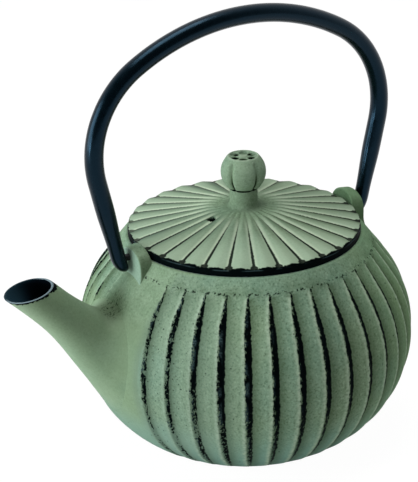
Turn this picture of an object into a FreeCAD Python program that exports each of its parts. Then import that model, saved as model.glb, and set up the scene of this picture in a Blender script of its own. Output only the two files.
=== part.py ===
import FreeCAD, Part
import math
import os

# A cast iron teapot: a ribbed round pot with its spout and two ears in one casting, a
# bail handle that swings on two pins, a lift-off lid with a screwed-on knob, and a
# stainless tea infuser that hangs in the mouth. Millimetres, +Z up, origin at the middle
# of the flat base, spout towards -X, handle in the XZ plane.

os.makedirs("parts", exist_ok=True)

# Pot casting
belly_radius = 80.0          # widest radius, over the ribs
base_radius = 44.5           # edge of the flat base
mouth_height = 102.7         # top of the mouth rim
rim_radius = 56.2            # outside radius of the mouth rim
shoulder_rise = 49.9         # from the widest ring up to the rim
shoulder_slope = 51.5        # degrees that the shoulder falls away from the rim
rim_width = 5.2              # width of the flat top of the rim
wall = 3.6                   # casting wall
floor_thickness = 5.0
seat_depth = 1.6             # step inside the rim that holds the infuser
seat_width = 3.5
seat_thickness = 4.5         # thickness of the ring below that step

# Ribs of the pot, each rising slowly round the pot and dropping back in a step
rib_count = 40
rib_first_angle = 185.5      # degrees, a step beside the spout
rib_bare_start = 172.0       # degrees, the plain stretch round the spout
rib_bare_end = 199.0
rib_turn = 8.0               # degrees over which a rib rises
rib_depth = 1.3              # height of its step
rib_top_drop = 6.3           # from the rim down to the top of the ribs
rib_foot = 1.5               # height where they end
rib_margin = 1.0             # how far the cutting shape stands out

# Spout, swept along a curve in the XZ plane
spout_root_inset = 18.4      # from the pot's side in to the root
spout_root_rise = 2.4        # above the widest ring
spout_root_slope = 18.2      # degrees above level where it leaves the pot
spout_root_pull = 20.5       # how far the curve follows that slope
spout_reach = 33.0           # from the pot's side out to the mouth
spout_mouth_drop = 3.3       # below the rim
spout_mouth_slope = 44.0
spout_mouth_pull = 27.3
spout_neck_height = 9.3      # half height of the neck, square to the curve
spout_neck_width = 10.2      # half width of the neck
spout_flare_height = 21.9    # how much the root adds to the half height
spout_flare_width = 17.0
spout_flare_power = 2.76
spout_lip_wall = 1.7
spout_root_wall = 3.4
spout_mouth_tilt = 13.0      # degrees that the mouth tips down outwards
spout_first_share = 0.06     # of the way along the curve, where the loft starts
spout_last_share = 1.25
spout_oval_count = 9
spout_oval_point_count = 16

# Ears that carry the handle
ear_half_width = 11.0
ear_front_rise = 5.1         # of the top of the ear at the spout, above the rim
ear_rear_rise = 7.9
ear_corner = 6.0             # radius of its upper corners
ear_overhang = 5.8           # of its outer face, beyond the rim
ear_depth = 8.0              # from the outer face in to the root
ear_flare_drop = 4.7         # below the rim, where the outer face starts to spread
ear_flare_radius = 14.0
ear_flare_turn = 50.0        # degrees
lid_side_gap = 0.8           # between the lid's edge and the ears

# Handle
handle_bulge = 13.0          # of the centre line at its widest, beyond the ears
handle_height = 104.0        # of the centre line at the top, above the pivot
handle_crown_radius = 100.0
handle_bend_radius = 48.0
handle_bar_radius = 4.3
handle_tip_radius = 2.9
handle_tip_drop = 4.0        # from the pivot down to the middle of the round tip
handle_side_gap = 0.6        # between tip and ear
pivot_rise = 0.5             # above the rim
pin_radius = 1.6
pin_clearance = 0.05
pin_grip = 1.0               # how far the pin passes the middle of the leg
pin_depth = 4.2              # how deep the pin sits in the ear
pin_end_gap = 0.2

# Lid
lid_inset = 1.2              # of its edge, from the rim's outside
lid_edge_height = 4.4
lid_edge_round = 0.8
lid_hub_radius = 17.4
lid_rise = 7.2               # from the edge's top to the hub
lid_hub_rise = 0.7           # from the hub's edge to the foot of the stem
lid_wall = 4.2
lid_stem_radius = 6.5
lid_stem_fillet = 1.8
lid_stem_height = 8.8
lid_skirt_depth = 7.7        # below the rim's top
lid_skirt_width = 2.8
lid_skirt_gap = 0.7          # between skirt and infuser sleeve
lid_land_radius = 9.0        # flat land under the lid for the washer
flute_count = 30
flute_first_angle = 147.0    # degrees
flute_depth = 1.3            # at the lid's edge
flute_inner_depth = 0.5      # at the hub
flute_spread = 6.0           # degrees over which a flute rises back to the surface
flute_step = 0.5             # degrees of its steep side
flute_margin = 0.6
vent_radius = 1.7
vent_place_radius = 20.0
vent_angle = 189.4           # degrees

# Knob and its screw
knob_radius = 10.6
knob_centre_rise = 8.2       # of the ball, above the stem
knob_flat_radius = 6.8       # flat top of the ball
knob_recess_radius = 6.0
knob_recess_depth = 0.9
knob_lobe_count = 5
knob_first_angle = 61.7      # degrees, of a groove between two lobes
knob_groove_radius = 1.0
knob_groove_out = 0.45       # how far the groove's centre line stands out from the ball
screw_radius = 2.0
screw_reach = 8.0            # into the knob
screw_hole_gap = 0.2
screw_head_radius = 4.0
screw_head_height = 2.4
screw_slot_width = 1.0
screw_slot_depth = 1.2
washer_radius = 5.0
washer_thickness = 0.8

# Infuser
flange_thickness = 0.8
flange_side_gap = 0.4
collar_gap = 1.9             # between the collar and the pot's throat
collar_height = 6.0
sheet = 0.6                  # stainless sheet
sleeve_gap = 0.1             # between collar and sleeve
infuser_depth = 55.0         # from the seat to the underside of its base
base_lip_height = 4.0

UP = FreeCAD.Vector(0, 0, 1)
ACROSS = FreeCAD.Vector(0, 1, 0)
ALONG = FreeCAD.Vector(1, 0, 0)
ORIGIN = FreeCAD.Vector(0, 0, 0)


def at(x, z):
    """A point of the XZ plane."""
    return FreeCAD.Vector(x, 0, z)


def line(first, last):
    return Part.LineSegment(first, last).toShape()


def arc(first, middle, last):
    return Part.Arc(first, middle, last).toShape()


def on_circle(centre, radius, degrees):
    """The point of a circle in the XZ plane at an angle from +X."""
    turn = math.radians(degrees)
    return at(centre.x + radius * math.cos(turn), centre.z + radius * math.sin(turn))


def tangent_angle(point, centre, radius, side):
    """Angle, in degrees, at which the line from a point touches a circle."""
    reach = point - centre
    heading = math.degrees(math.atan2(reach.z, reach.x))
    return heading + side * math.degrees(math.acos(radius / reach.Length))


def loop(points):
    """Closed straight-sided wire through points."""
    ends = points[1:] + points[:1]
    return Part.Wire([line(first, last) for first, last in zip(points, ends)])


def turned(wire):
    """Solid of revolution about Z of a closed wire in the XZ plane."""
    return Part.Face(wire).revolve(ORIGIN, UP, 360)


def ring(inner, outer, low, high):
    """Plain ring about Z."""
    return turned(loop([at(inner, low), at(outer, low), at(outer, high), at(inner, high)]))


def pin_along_x(radius, start, end, height):
    """Cylinder along X between two places."""
    return Part.makeCylinder(radius, abs(end - start), at(min(start, end), height), ALONG)


def export(shape, node):
    shape.exportStep("parts/" + node + ".step")
    print(node, "solids", len(shape.Solids), "valid", shape.isValid(), "volume", round(shape.Volume, 1))


# Pot shell, turned: two arcs meet at the widest ring, and a straight shoulder runs up to the rim
belly_height = mouth_height - shoulder_rise
slope_across = math.cos(math.radians(shoulder_slope))
slope_down = math.sin(math.radians(shoulder_slope))
upper_arc = shoulder_rise * slope_across - (belly_radius - rim_radius) * slope_down
upper_arc = upper_arc / (1 - slope_down)
base_inset = belly_radius - base_radius
lower_arc = (base_inset**2 + belly_height**2) / (2 * base_inset)
upper_centre = at(belly_radius - upper_arc, belly_height)
lower_centre = at(belly_radius - lower_arc, belly_height)


def lower_point(inset, height):
    """Point of the lower side, set in by a wall, at a height."""
    radius = lower_arc - inset
    drop = belly_height - height
    return at(lower_centre.x + math.sqrt(radius**2 - drop**2), height)


def shoulder_point(inset, height):
    """Point of the sloping shoulder, set in by a wall, at a height."""
    out = (mouth_height - height) * slope_across / slope_down - inset / slope_down
    return at(rim_radius + out, height)


def side_edges(inset, low, high):
    """The pot's side, set in by a wall, from a low height up to a high one on the shoulder."""
    foot = lower_point(inset, low)
    belly = at(belly_radius - inset, belly_height)
    foot_turn = math.degrees(math.atan2(foot.z - belly_height, foot.x - lower_centre.x))
    lower_middle = on_circle(lower_centre, lower_arc - inset, foot_turn / 2)
    shoulder_turn = 90 - shoulder_slope
    upper_middle = on_circle(upper_centre, upper_arc - inset, shoulder_turn / 2)
    shoulder = on_circle(upper_centre, upper_arc - inset, shoulder_turn)
    return [
        arc(foot, lower_middle, belly),
        arc(belly, upper_middle, shoulder),
        line(shoulder, shoulder_point(inset, high)),
    ]


def pot_outside():
    top_middle = at(0, mouth_height)
    base = [line(ORIGIN, at(base_radius, 0))]
    top = [line(at(rim_radius, mouth_height), top_middle), line(top_middle, ORIGIN)]
    return turned(Part.Wire(base + side_edges(0, 0, mouth_height) + top))


def rib_cut():
    """Wedge of the pot's skin that leaves one rib: deep at its step in the plane of +X, then shallower."""
    rib_top = mouth_height - rib_top_drop
    sections = []
    for inset, turn in ((rib_depth, 0), (0, rib_turn)):
        inner = side_edges(inset, rib_foot, rib_top)
        outer = side_edges(-rib_margin, rib_foot, rib_top)
        foot = line(lower_point(-rib_margin, rib_foot), lower_point(inset, rib_foot))
        top = line(shoulder_point(inset, rib_top), shoulder_point(-rib_margin, rib_top))
        section = Part.Wire([foot] + inner + [top] + outer[::-1])
        section.rotate(ORIGIN, UP, turn)
        sections.append(section)
    return Part.makeLoft(sections, True, True)


def rib_cuts():
    """The wedges all round the pot, apart from those beside the spout."""
    pitch = 360 / rib_count
    wedge = rib_cut()
    wedges = []
    for number in range(rib_count):
        angle = (rib_first_angle + pitch * number) % 360
        if not rib_bare_start < angle < rib_bare_end:
            turned_wedge = wedge.copy()
            turned_wedge.rotate(ORIGIN, UP, angle)
            wedges.append(turned_wedge)
    return wedges


seat_height = mouth_height - seat_depth
seat_radius = rim_radius - rim_width
throat_radius = seat_radius - seat_width


def pot_inside():
    """The hollow of the pot, with the throat, the infuser's seat and the open mouth."""
    seat_under = seat_height - seat_thickness
    floor_middle = at(0, floor_thickness)
    points = [
        shoulder_point(wall, seat_under),
        at(throat_radius, seat_under),
        at(throat_radius, seat_height),
        at(seat_radius, seat_height),
        at(seat_radius, mouth_height),
        at(0, mouth_height),
        floor_middle,
    ]
    floor = [line(floor_middle, lower_point(wall, floor_thickness))]
    top = [line(first, last) for first, last in zip(points[:-1], points[1:])]
    return turned(Part.Wire(floor + side_edges(wall, floor_thickness, seat_under) + top))


# Spout, a loft of ovals square to its curve
spout_root = at(spout_root_inset - belly_radius, belly_height + spout_root_rise)
spout_mouth = at(-belly_radius - spout_reach, mouth_height - spout_mouth_drop)


def spout_curve(share):
    """Point and direction of the spout's middle at a share of the way to the mouth."""
    root_turn = math.radians(spout_root_slope)
    mouth_turn = math.radians(spout_mouth_slope)
    leave = spout_root + at(-math.cos(root_turn), math.sin(root_turn)) * spout_root_pull
    arrive = spout_mouth - at(-math.cos(mouth_turn), math.sin(mouth_turn)) * spout_mouth_pull
    rest = 1 - share
    point = spout_root * rest**3 + leave * 3 * rest**2 * share
    point = point + arrive * 3 * rest * share**2 + spout_mouth * share**3
    heading = (leave - spout_root) * rest**2 + (arrive - leave) * 2 * rest * share
    heading = heading + (spout_mouth - arrive) * share**2
    return point, heading.normalize()


def spout_oval(share, inset):
    """Oval section of the spout: flared at the root, steady along the neck."""
    point, heading = spout_curve(share)
    flare = max(1 - share, 0)**spout_flare_power
    height = spout_neck_height + spout_flare_height * flare - inset
    width = spout_neck_width + spout_flare_width * flare - inset
    upward = ACROSS.cross(heading) * -1
    step = 2 * math.pi / spout_oval_point_count
    turns = [step * number for number in range(spout_oval_point_count)]
    points = [point + upward * height * math.cos(turn) + ACROSS * width * math.sin(turn) for turn in turns]
    outline = Part.BSplineCurve()
    outline.interpolate(points, PeriodicFlag=True)
    return Part.Wire(outline.toShape())


def spout_loft(lip_inset, root_inset):
    ovals = []
    for number in range(spout_oval_count):
        along = number / (spout_oval_count - 1)
        share = spout_first_share + (spout_last_share - spout_first_share) * along
        inset = lip_inset + (root_inset - lip_inset) * max(1 - share, 0)
        ovals.append(spout_oval(share, inset))
    return Part.makeLoft(ovals, True, False)


def above_spout_mouth():
    """Block that trims the spout at its tipped mouth."""
    size = 4 * spout_neck_width
    block = Part.makeBox(size, size, size, FreeCAD.Vector(-size / 2, -size / 2, 0))
    block.rotate(ORIGIN, ACROSS, -spout_mouth_tilt)
    block.translate(spout_mouth)
    return block


# Ears, an arch seen along X, with the outer face spreading into the shoulder
lid_radius = rim_radius - lid_inset
ear_inner_radius = lid_radius + lid_side_gap
ear_outer_x = rim_radius + ear_overhang
ear_root_x = ear_outer_x - ear_depth
ear_flare_height = mouth_height - ear_flare_drop
pivot_height = mouth_height + pivot_rise


def facing(y, z):
    """A point of the YZ plane."""
    return FreeCAD.Vector(0, y, z)


def ear(side):
    top = mouth_height + (ear_front_rise if side < 0 else ear_rear_rise)
    flat = ear_half_width - ear_corner
    spring = top - ear_corner
    middle = ear_corner * math.sqrt(0.5)
    arch = Part.Wire([
        line(facing(-ear_half_width, 0), facing(-ear_half_width, spring)),
        arc(facing(-ear_half_width, spring), facing(-flat - middle, spring + middle), facing(-flat, top)),
        line(facing(-flat, top), facing(flat, top)),
        arc(facing(flat, top), facing(flat + middle, spring + middle), facing(ear_half_width, spring)),
        line(facing(ear_half_width, spring), facing(ear_half_width, 0)),
        line(facing(ear_half_width, 0), facing(-ear_half_width, 0)),
    ])
    tunnel = Part.Face(arch).extrude(ALONG * belly_radius)
    flare_centre = at(ear_outer_x + ear_flare_radius, ear_flare_height)
    flare_top = at(ear_outer_x, ear_flare_height)
    flare_middle = on_circle(flare_centre, ear_flare_radius, 180 + ear_flare_turn / 2)
    flare_foot = on_circle(flare_centre, ear_flare_radius, 180 + ear_flare_turn)
    cap = top + ear_half_width
    outline = Part.Wire([
        line(at(ear_root_x, flare_foot.z), at(ear_root_x, cap)),
        line(at(ear_root_x, cap), at(ear_outer_x, cap)),
        line(at(ear_outer_x, cap), flare_top),
        arc(flare_top, flare_middle, flare_foot),
        line(flare_foot, at(ear_root_x, flare_foot.z)),
    ])
    slab = Part.Face(outline).extrude(ACROSS * 2 * ear_half_width)
    slab.translate(ACROSS * -ear_half_width)
    block = tunnel.common(slab)
    lid_room = Part.makeCylinder(ear_inner_radius, cap - mouth_height, at(0, mouth_height))
    block = block.cut(lid_room)
    if side < 0:
        block.rotate(ORIGIN, UP, 180)
    return block


def pin_hole(side):
    depth = ear_outer_x - pin_depth - pin_end_gap
    return pin_along_x(pin_radius + pin_clearance, side * depth, side * belly_radius, pivot_height)


def pot_body():
    spout = spout_loft(0, 0).cut(above_spout_mouth())
    outside = pot_outside().cut(rib_cuts()).fuse([spout, ear(-1), ear(1)])
    hollow = [pot_inside(), spout_loft(spout_lip_wall, spout_root_wall), pin_hole(-1), pin_hole(1)]
    return outside.cut(hollow).removeSplitter()


# Handle, three tangent arcs with a tapered leg at each end
leg_tip = at(ear_outer_x + handle_side_gap + handle_tip_radius, pivot_height - handle_tip_drop)
crown_centre = at(0, pivot_height + handle_height - handle_crown_radius)
bend_centre_x = ear_outer_x + handle_bulge - handle_bend_radius
bend_reach = handle_crown_radius - handle_bend_radius
bend_centre = at(bend_centre_x, crown_centre.z + math.sqrt(bend_reach**2 - bend_centre_x**2))
leg_angle = tangent_angle(leg_tip, bend_centre, handle_bend_radius, 1)
leg_top = on_circle(bend_centre, handle_bend_radius, leg_angle)
leg_line = (leg_top - leg_tip).normalize()
pin_end_x = leg_tip.x + handle_tip_drop * leg_line.x / leg_line.z + pin_grip
bend_angle = math.degrees(math.atan2(bend_centre.z - crown_centre.z, bend_centre_x))


def handle_bend(side):
    """Bar from the top of a leg round the bend to the crown."""
    disc = Part.Face(Part.Wire(Part.Circle(leg_top, leg_line, handle_bar_radius).toShape()))
    bar = disc.revolve(bend_centre, ACROSS, leg_angle - bend_angle)
    length = (leg_top - leg_tip).Length
    leg = Part.makeCone(handle_tip_radius, handle_bar_radius, length, leg_tip, leg_line)
    bar = bar.fuse([leg, Part.makeSphere(handle_tip_radius, leg_tip)])
    if side < 0:
        bar.rotate(ORIGIN, UP, 180)
    return bar


def handle():
    start = on_circle(crown_centre, handle_crown_radius, bend_angle)
    start_line = FreeCAD.Vector(start.z - crown_centre.z, 0, -start.x)
    disc = Part.Face(Part.Wire(Part.Circle(start, start_line, handle_bar_radius).toShape()))
    crown = disc.revolve(crown_centre, ACROSS, 2 * bend_angle - 180)
    bar = crown.fuse([handle_bend(-1), handle_bend(1)])
    for side in (-1, 1):
        bar = bar.cut(pin_along_x(pin_radius, side * ear_outer_x, side * pin_end_x, pivot_height))
    return bar.removeSplitter()


def handle_pin(side):
    return pin_along_x(pin_radius, side * (ear_outer_x - pin_depth), side * pin_end_x, pivot_height)


# Infuser, a flanged collar, a sleeve of fine mesh and a pressed base
collar_radius = throat_radius - collar_gap
sleeve_outer = collar_radius - sheet - sleeve_gap
sleeve_inner = sleeve_outer - sheet
infuser_bottom = seat_height - infuser_depth


def infuser_rim():
    flange_radius = seat_radius - flange_side_gap
    flange = ring(collar_radius - sheet, flange_radius, seat_height, seat_height + flange_thickness)
    collar = ring(collar_radius - sheet, collar_radius, seat_height - collar_height, seat_height)
    return flange.fuse(collar).removeSplitter()


def infuser_mesh():
    return ring(sleeve_inner, sleeve_outer, infuser_bottom + sheet, seat_height + flange_thickness)


def infuser_base():
    plate = Part.makeCylinder(collar_radius, sheet, at(0, infuser_bottom))
    lip = ring(collar_radius - sheet, collar_radius, infuser_bottom + sheet, infuser_bottom + base_lip_height)
    return plate.fuse(lip).removeSplitter()


# Lid, a shallow cone on a flat ring, with a skirt that drops into the infuser
lid_top_edge = mouth_height + lid_edge_height
lid_hub_height = lid_top_edge + lid_rise
lid_stem_foot = lid_hub_height + lid_hub_rise
lid_stem_top = lid_stem_foot + lid_stem_height
lid_under = lid_stem_foot - lid_wall
skirt_outer = sleeve_inner - lid_skirt_gap
skirt_inner = skirt_outer - lid_skirt_width
screw_hole = screw_radius + screw_hole_gap


def flute(degrees):
    """Wedge that cuts one flute: steep on one side, rising slowly on the other."""
    lid_slope = lid_rise / (lid_radius - lid_hub_radius)
    ends = []
    for radius, depth in ((lid_hub_radius, flute_inner_depth), (lid_radius + flute_margin, flute_depth)):
        surface = lid_hub_height - lid_slope * (radius - lid_hub_radius)
        corners = ((0, -depth), (flute_spread, flute_margin), (-flute_step, flute_margin))
        points = []
        for turn, lift in corners:
            angle = math.radians(degrees + turn)
            points.append(FreeCAD.Vector(radius * math.cos(angle), radius * math.sin(angle), surface + lift))
        ends.append(loop(points))
    return Part.makeLoft(ends, True, True)


def lid():
    round_cut = lid_edge_round * (1 - math.sqrt(0.5))
    lid_slope = lid_rise / (lid_radius - lid_hub_radius)
    edge_inner = at(lid_radius - lid_edge_round, lid_top_edge + lid_edge_round * lid_slope)
    edge_middle = at(lid_radius - round_cut, lid_top_edge - round_cut)
    edge_outer = at(lid_radius, lid_top_edge - lid_edge_round)
    fillet_foot = at(lid_stem_radius + lid_stem_fillet, lid_stem_foot)
    fillet_middle = at(
        lid_stem_radius + lid_stem_fillet * (1 - math.sqrt(0.5)),
        lid_stem_foot + lid_stem_fillet * (1 - math.sqrt(0.5)),
    )
    fillet_top = at(lid_stem_radius, lid_stem_foot + lid_stem_fillet)
    under_drop = lid_slope * (skirt_inner - lid_hub_radius)
    up_side = [
        line(at(lid_radius, mouth_height), edge_outer),
        arc(edge_outer, edge_middle, edge_inner),
        line(edge_inner, at(lid_hub_radius, lid_hub_height)),
        line(at(lid_hub_radius, lid_hub_height), fillet_foot),
        arc(fillet_foot, fillet_middle, fillet_top),
        line(fillet_top, at(lid_stem_radius, lid_stem_top)),
        line(at(lid_stem_radius, lid_stem_top), at(screw_hole, lid_stem_top)),
    ]
    down_points = [
        at(screw_hole, lid_stem_top),
        at(screw_hole, lid_under),
        at(lid_land_radius, lid_under),
        at(lid_hub_radius, lid_under - lid_hub_rise),
        at(skirt_inner, lid_under - lid_hub_rise - under_drop),
        at(skirt_inner, mouth_height - lid_skirt_depth),
        at(skirt_outer, mouth_height - lid_skirt_depth),
        at(skirt_outer, mouth_height),
        at(lid_radius, mouth_height),
    ]
    down_side = [line(first, last) for first, last in zip(down_points[:-1], down_points[1:])]
    plate = turned(Part.Wire(up_side + down_side))
    turn = math.radians(vent_angle)
    vent_place = FreeCAD.Vector(vent_place_radius * math.cos(turn), vent_place_radius * math.sin(turn), 0)
    vent = Part.makeCylinder(vent_radius, lid_stem_top, vent_place)
    pitch = 360 / flute_count
    flutes = [flute(flute_first_angle + pitch * number) for number in range(flute_count)]
    return plate.cut(flutes + [vent])


# Knob, a ball with shallow grooves between its lobes and a recess on top
def knob():
    centre = at(0, lid_stem_top + knob_centre_rise)
    ball = Part.makeSphere(knob_radius, centre)
    flat_height = centre.z + math.sqrt(knob_radius**2 - knob_flat_radius**2)
    size = 4 * knob_radius
    corner = FreeCAD.Vector(-size / 2, -size / 2, 0)
    below = Part.makeBox(size, size, size, corner + at(0, lid_stem_top - size))
    above = Part.makeBox(size, size, size, corner + at(0, flat_height))
    recess = Part.makeCylinder(knob_recess_radius, knob_radius, at(0, flat_height - knob_recess_depth))
    screw_room = Part.makeCylinder(screw_radius, screw_reach, at(0, lid_stem_top))
    ball = ball.cut([below, above, recess, screw_room])
    grooves = []
    for number in range(knob_lobe_count):
        disc_centre = at(0, centre.z + knob_radius + knob_groove_out)
        disc = Part.Face(Part.Wire(Part.Circle(disc_centre, ALONG, knob_groove_radius).toShape()))
        groove = disc.revolve(centre, ACROSS, 180)
        groove.rotate(centre, UP, knob_first_angle + 360 * number / knob_lobe_count)
        grooves.append(groove)
    return ball.cut(grooves)


def knob_washer():
    return ring(screw_hole, washer_radius, lid_under - washer_thickness, lid_under)


def knob_screw():
    head_top = lid_under - washer_thickness
    shank = Part.makeCylinder(screw_radius, lid_stem_top + screw_reach - head_top, at(0, head_top))
    head = Part.makeCylinder(screw_head_radius, screw_head_height, at(0, head_top - screw_head_height))
    corner = FreeCAD.Vector(-screw_head_radius, -screw_slot_width / 2, head_top - screw_head_height)
    slot = Part.makeBox(2 * screw_head_radius, screw_slot_width, screw_slot_depth, corner)
    return shank.fuse(head).cut(slot).removeSplitter()


export(pot_body(), "pot_body")
export(handle(), "handle")
export(handle_pin(-1), "handle_pin_front")
export(handle_pin(1), "handle_pin_rear")
export(infuser_rim(), "infuser_rim")
export(infuser_mesh(), "infuser_mesh")
export(infuser_base(), "infuser_base")
export(lid(), "lid")
export(knob(), "knob")
export(knob_washer(), "knob_washer")
export(knob_screw(), "knob_screw")
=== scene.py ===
import bmesh
import bpy
import numpy as np
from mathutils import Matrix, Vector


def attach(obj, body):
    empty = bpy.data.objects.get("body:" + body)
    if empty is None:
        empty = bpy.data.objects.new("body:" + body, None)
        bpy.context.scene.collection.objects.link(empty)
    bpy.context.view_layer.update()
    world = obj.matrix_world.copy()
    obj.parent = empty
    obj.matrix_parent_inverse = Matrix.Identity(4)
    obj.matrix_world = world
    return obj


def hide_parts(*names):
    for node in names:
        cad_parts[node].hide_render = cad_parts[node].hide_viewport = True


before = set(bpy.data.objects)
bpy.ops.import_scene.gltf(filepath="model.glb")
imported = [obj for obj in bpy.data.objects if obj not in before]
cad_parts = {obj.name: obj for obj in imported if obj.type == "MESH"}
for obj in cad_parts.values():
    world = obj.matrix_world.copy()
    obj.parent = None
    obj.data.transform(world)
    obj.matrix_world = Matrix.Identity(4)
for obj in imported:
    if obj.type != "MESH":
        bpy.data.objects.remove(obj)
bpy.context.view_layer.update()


# Pot
# One iron casting: a round body with stepped ribs, a spout and two ears for the handle. It
# is painted sage green over black, and rubbed back so that the steps between the ribs stay
# black. The inside is black enamel.
mm = 0.001
belly_radius = 80.0 * mm
base_radius = 44.5 * mm
rim_height = 102.7 * mm
rim_radius = 56.2 * mm
rim_width = 5.2 * mm
shoulder_rise = 49.9 * mm
shoulder_slope = 51.5
pot_wall = 3.6 * mm
floor_height = 5.0 * mm
seat_depth = 1.6 * mm
seat_width = 3.5 * mm
seat_thickness = 4.5 * mm
base_round = 2.4 * mm
rim_round = 1.1 * mm

rib_count = 40
rib_first_angle = 185.5
rib_bare_start = 172.0
rib_bare_end = 199.0
rib_step_turn = 2.7
rib_step_lean = 0.8
rib_depth = 1.3 * mm
rib_top = 96.6 * mm
rib_full_below = 84.0 * mm
rib_foot = 2.0 * mm
rib_full_above = 20.0 * mm
rib_thin_top = 0.40
rib_thin_foot = 0.55
rib_pitch = 360 / rib_count
rib_start = rib_first_angle - rib_step_turn / 2

spout_root = np.array([-61.6, 55.2]) * mm
spout_mouth = np.array([-112.3, 98.9]) * mm
spout_root_slope = 18.2
spout_mouth_slope = 44.0
spout_root_pull = 20.5 * mm
spout_mouth_pull = 27.3 * mm
spout_neck_height = 9.3 * mm
spout_neck_width = 10.2 * mm
spout_flare_height = 21.9 * mm
spout_flare_width = 17.0 * mm
spout_flare_power = 2.76
spout_mouth_tilt = 10.0
spout_lip = 0.85 * mm
spout_join = 0.50
spout_foot_middle = 57.0 * mm
spout_foot_up = 27.0 * mm
spout_foot_down = 34.0 * mm
spout_foot_side = 26.0 * mm
spout_foot_sink = 0.35 * mm
bore_middle = 61.0 * mm
bore_half_height = 12.0 * mm
bore_half_width = 11.0 * mm

ear_half_width = 9.7 * mm
ear_middle = -1.2 * mm
ear_tops = {-1: 108.6 * mm, 1: 111.2 * mm}
ear_arch = 9.0 * mm
ear_arch_power = 2.15
ear_top_fall = 0.15
ear_outer = 61.7 * mm
ear_inner_radius = 55.8 * mm
ear_foot = 86.0 * mm
ear_flare_height = 98.5 * mm
ear_flare_drop = 9.5 * mm
ear_flare_radius = 14.0 * mm
ear_flare_side = 1.5 * mm
ear_edge = 0.9 * mm

PAINTED_RIBS = 0.0
PAINTED_PLAIN = 1.0
SPOUT_ROOT = 0.18
BARE_LIP = 2.0
BLACK_INSIDE = 3.0


def smooth_step(value, low, high):
    """0 below low, 1 above high and an S-shaped rise between them."""
    share = np.clip((value - low) / (high - low), 0, 1)
    return share * share * (3 - 2 * share)


def straight(start, end, count):
    """Points of a straight run: an even mix of its two ends."""
    share = np.linspace(0, 1, count)[:, None]
    return np.array(start) * (1 - share) + np.array(end) * share


def arc(centre, radius, first, last, count):
    """Points of an arc: its centre plus radius times (cos, sin) of evenly spaced degrees."""
    turn = np.radians(np.linspace(first, last, count))
    return np.array(centre) + radius * np.stack([np.cos(turn), np.sin(turn)], -1)


def bend(start, corner, end, count):
    """Points of a rounded corner: the quadratic curve from start to end pulled to corner."""
    share = np.linspace(0, 1, count)[:, None]
    first = np.array(start) * (1 - share) ** 2
    return first + np.array(corner) * 2 * share * (1 - share) + np.array(end) * share**2


def joined(*runs):
    """One profile from runs that follow each other, without the repeated end points."""
    return np.concatenate([runs[0]] + [run[1:] for run in runs[1:]])


def turned(profile, angles):
    """Surface of revolution: (radius cos angle, radius sin angle, height) for each pair."""
    radius, height = profile[:, :1], profile[:, 1:]
    return np.stack([radius * np.cos(angles), radius * np.sin(angles), height + 0 * angles], -1)


def grid_quads(rows, columns):
    """Corner numbers of the quads of a grid whose last column joins its first."""
    row, column = np.mgrid[0:rows - 1, 0:columns]
    beside = (column + 1) % columns
    corners = [row * columns + column, row * columns + beside]
    corners += [(row + 1) * columns + beside, (row + 1) * columns + column]
    return np.stack(corners, -1).reshape(-1, 4)


def make_piece(name, grids, regions=None, sharp=35.0, keep=None):
    """A mesh object from grids of points, with seams and poles merged.

    regions gives each row or each point of every grid a number for the material, and keep
    picks quads by their middles.
    """
    points = np.concatenate([grid.reshape(-1, 3) for grid in grids])
    starts = np.cumsum([0] + [grid.shape[0] * grid.shape[1] for grid in grids])
    quads = [grid_quads(*grid.shape[:2]) + start for grid, start in zip(grids, starts)]
    quads = np.concatenate(quads)
    if keep is not None:
        quads = quads[keep(points[quads].mean(1))]
    used, quads = np.unique(quads, return_inverse=True)
    mesh = bpy.data.meshes.new(name)
    mesh.from_pydata(points[used].tolist(), [], quads.reshape(-1, 4).tolist())
    if regions is not None:
        spread_out = [np.reshape(region, (len(region), -1)) for region in regions]
        values = [np.broadcast_to(part, grid.shape[:2]).ravel() for part, grid in zip(spread_out, grids)]
        layer = mesh.attributes.new("region", "FLOAT", "POINT")
        layer.data.foreach_set("value", np.concatenate(values)[used].astype(np.float32))
    cleaned = bmesh.new()
    cleaned.from_mesh(mesh)
    bmesh.ops.remove_doubles(cleaned, verts=cleaned.verts, dist=0.002 * mm)
    cleaned.to_mesh(mesh)
    cleaned.free()
    mesh.shade_smooth()
    mesh.set_sharp_from_angle(angle=np.radians(sharp))
    piece = bpy.data.objects.new(name, mesh)
    bpy.context.scene.collection.objects.link(piece)
    return piece


belly_height = rim_height - shoulder_rise
slope_across = np.cos(np.radians(shoulder_slope))
slope_down = np.sin(np.radians(shoulder_slope))
upper_arc = (shoulder_rise * slope_across - (belly_radius - rim_radius) * slope_down) / (1 - slope_down)
lower_arc = ((belly_radius - base_radius) ** 2 + belly_height**2) / (2 * (belly_radius - base_radius))
shoulder_height = belly_height + upper_arc * slope_across


def body_radius(height):
    """Radius of the plain body: an arc below the widest ring, one above it, and a straight shoulder."""
    lower = np.sqrt(np.maximum(lower_arc**2 - (belly_height - height) ** 2, 0)) + belly_radius - lower_arc
    upper = np.sqrt(np.maximum(upper_arc**2 - (height - belly_height) ** 2, 0)) + belly_radius - upper_arc
    shoulder = rim_radius + (rim_height - height) * slope_across / slope_down
    return np.where(height < belly_height, lower, np.where(height < shoulder_height, upper, shoulder))


def rib_reach(height):
    """How full a rib is at a height: slender at both ends of the side, full between."""
    top = rib_thin_top + (1 - rib_thin_top) * smooth_step(-height, -rib_top, -rib_full_below)
    foot = rib_thin_foot + (1 - rib_thin_foot) * smooth_step(height, rib_foot, rib_full_above)
    return top * foot


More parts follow.
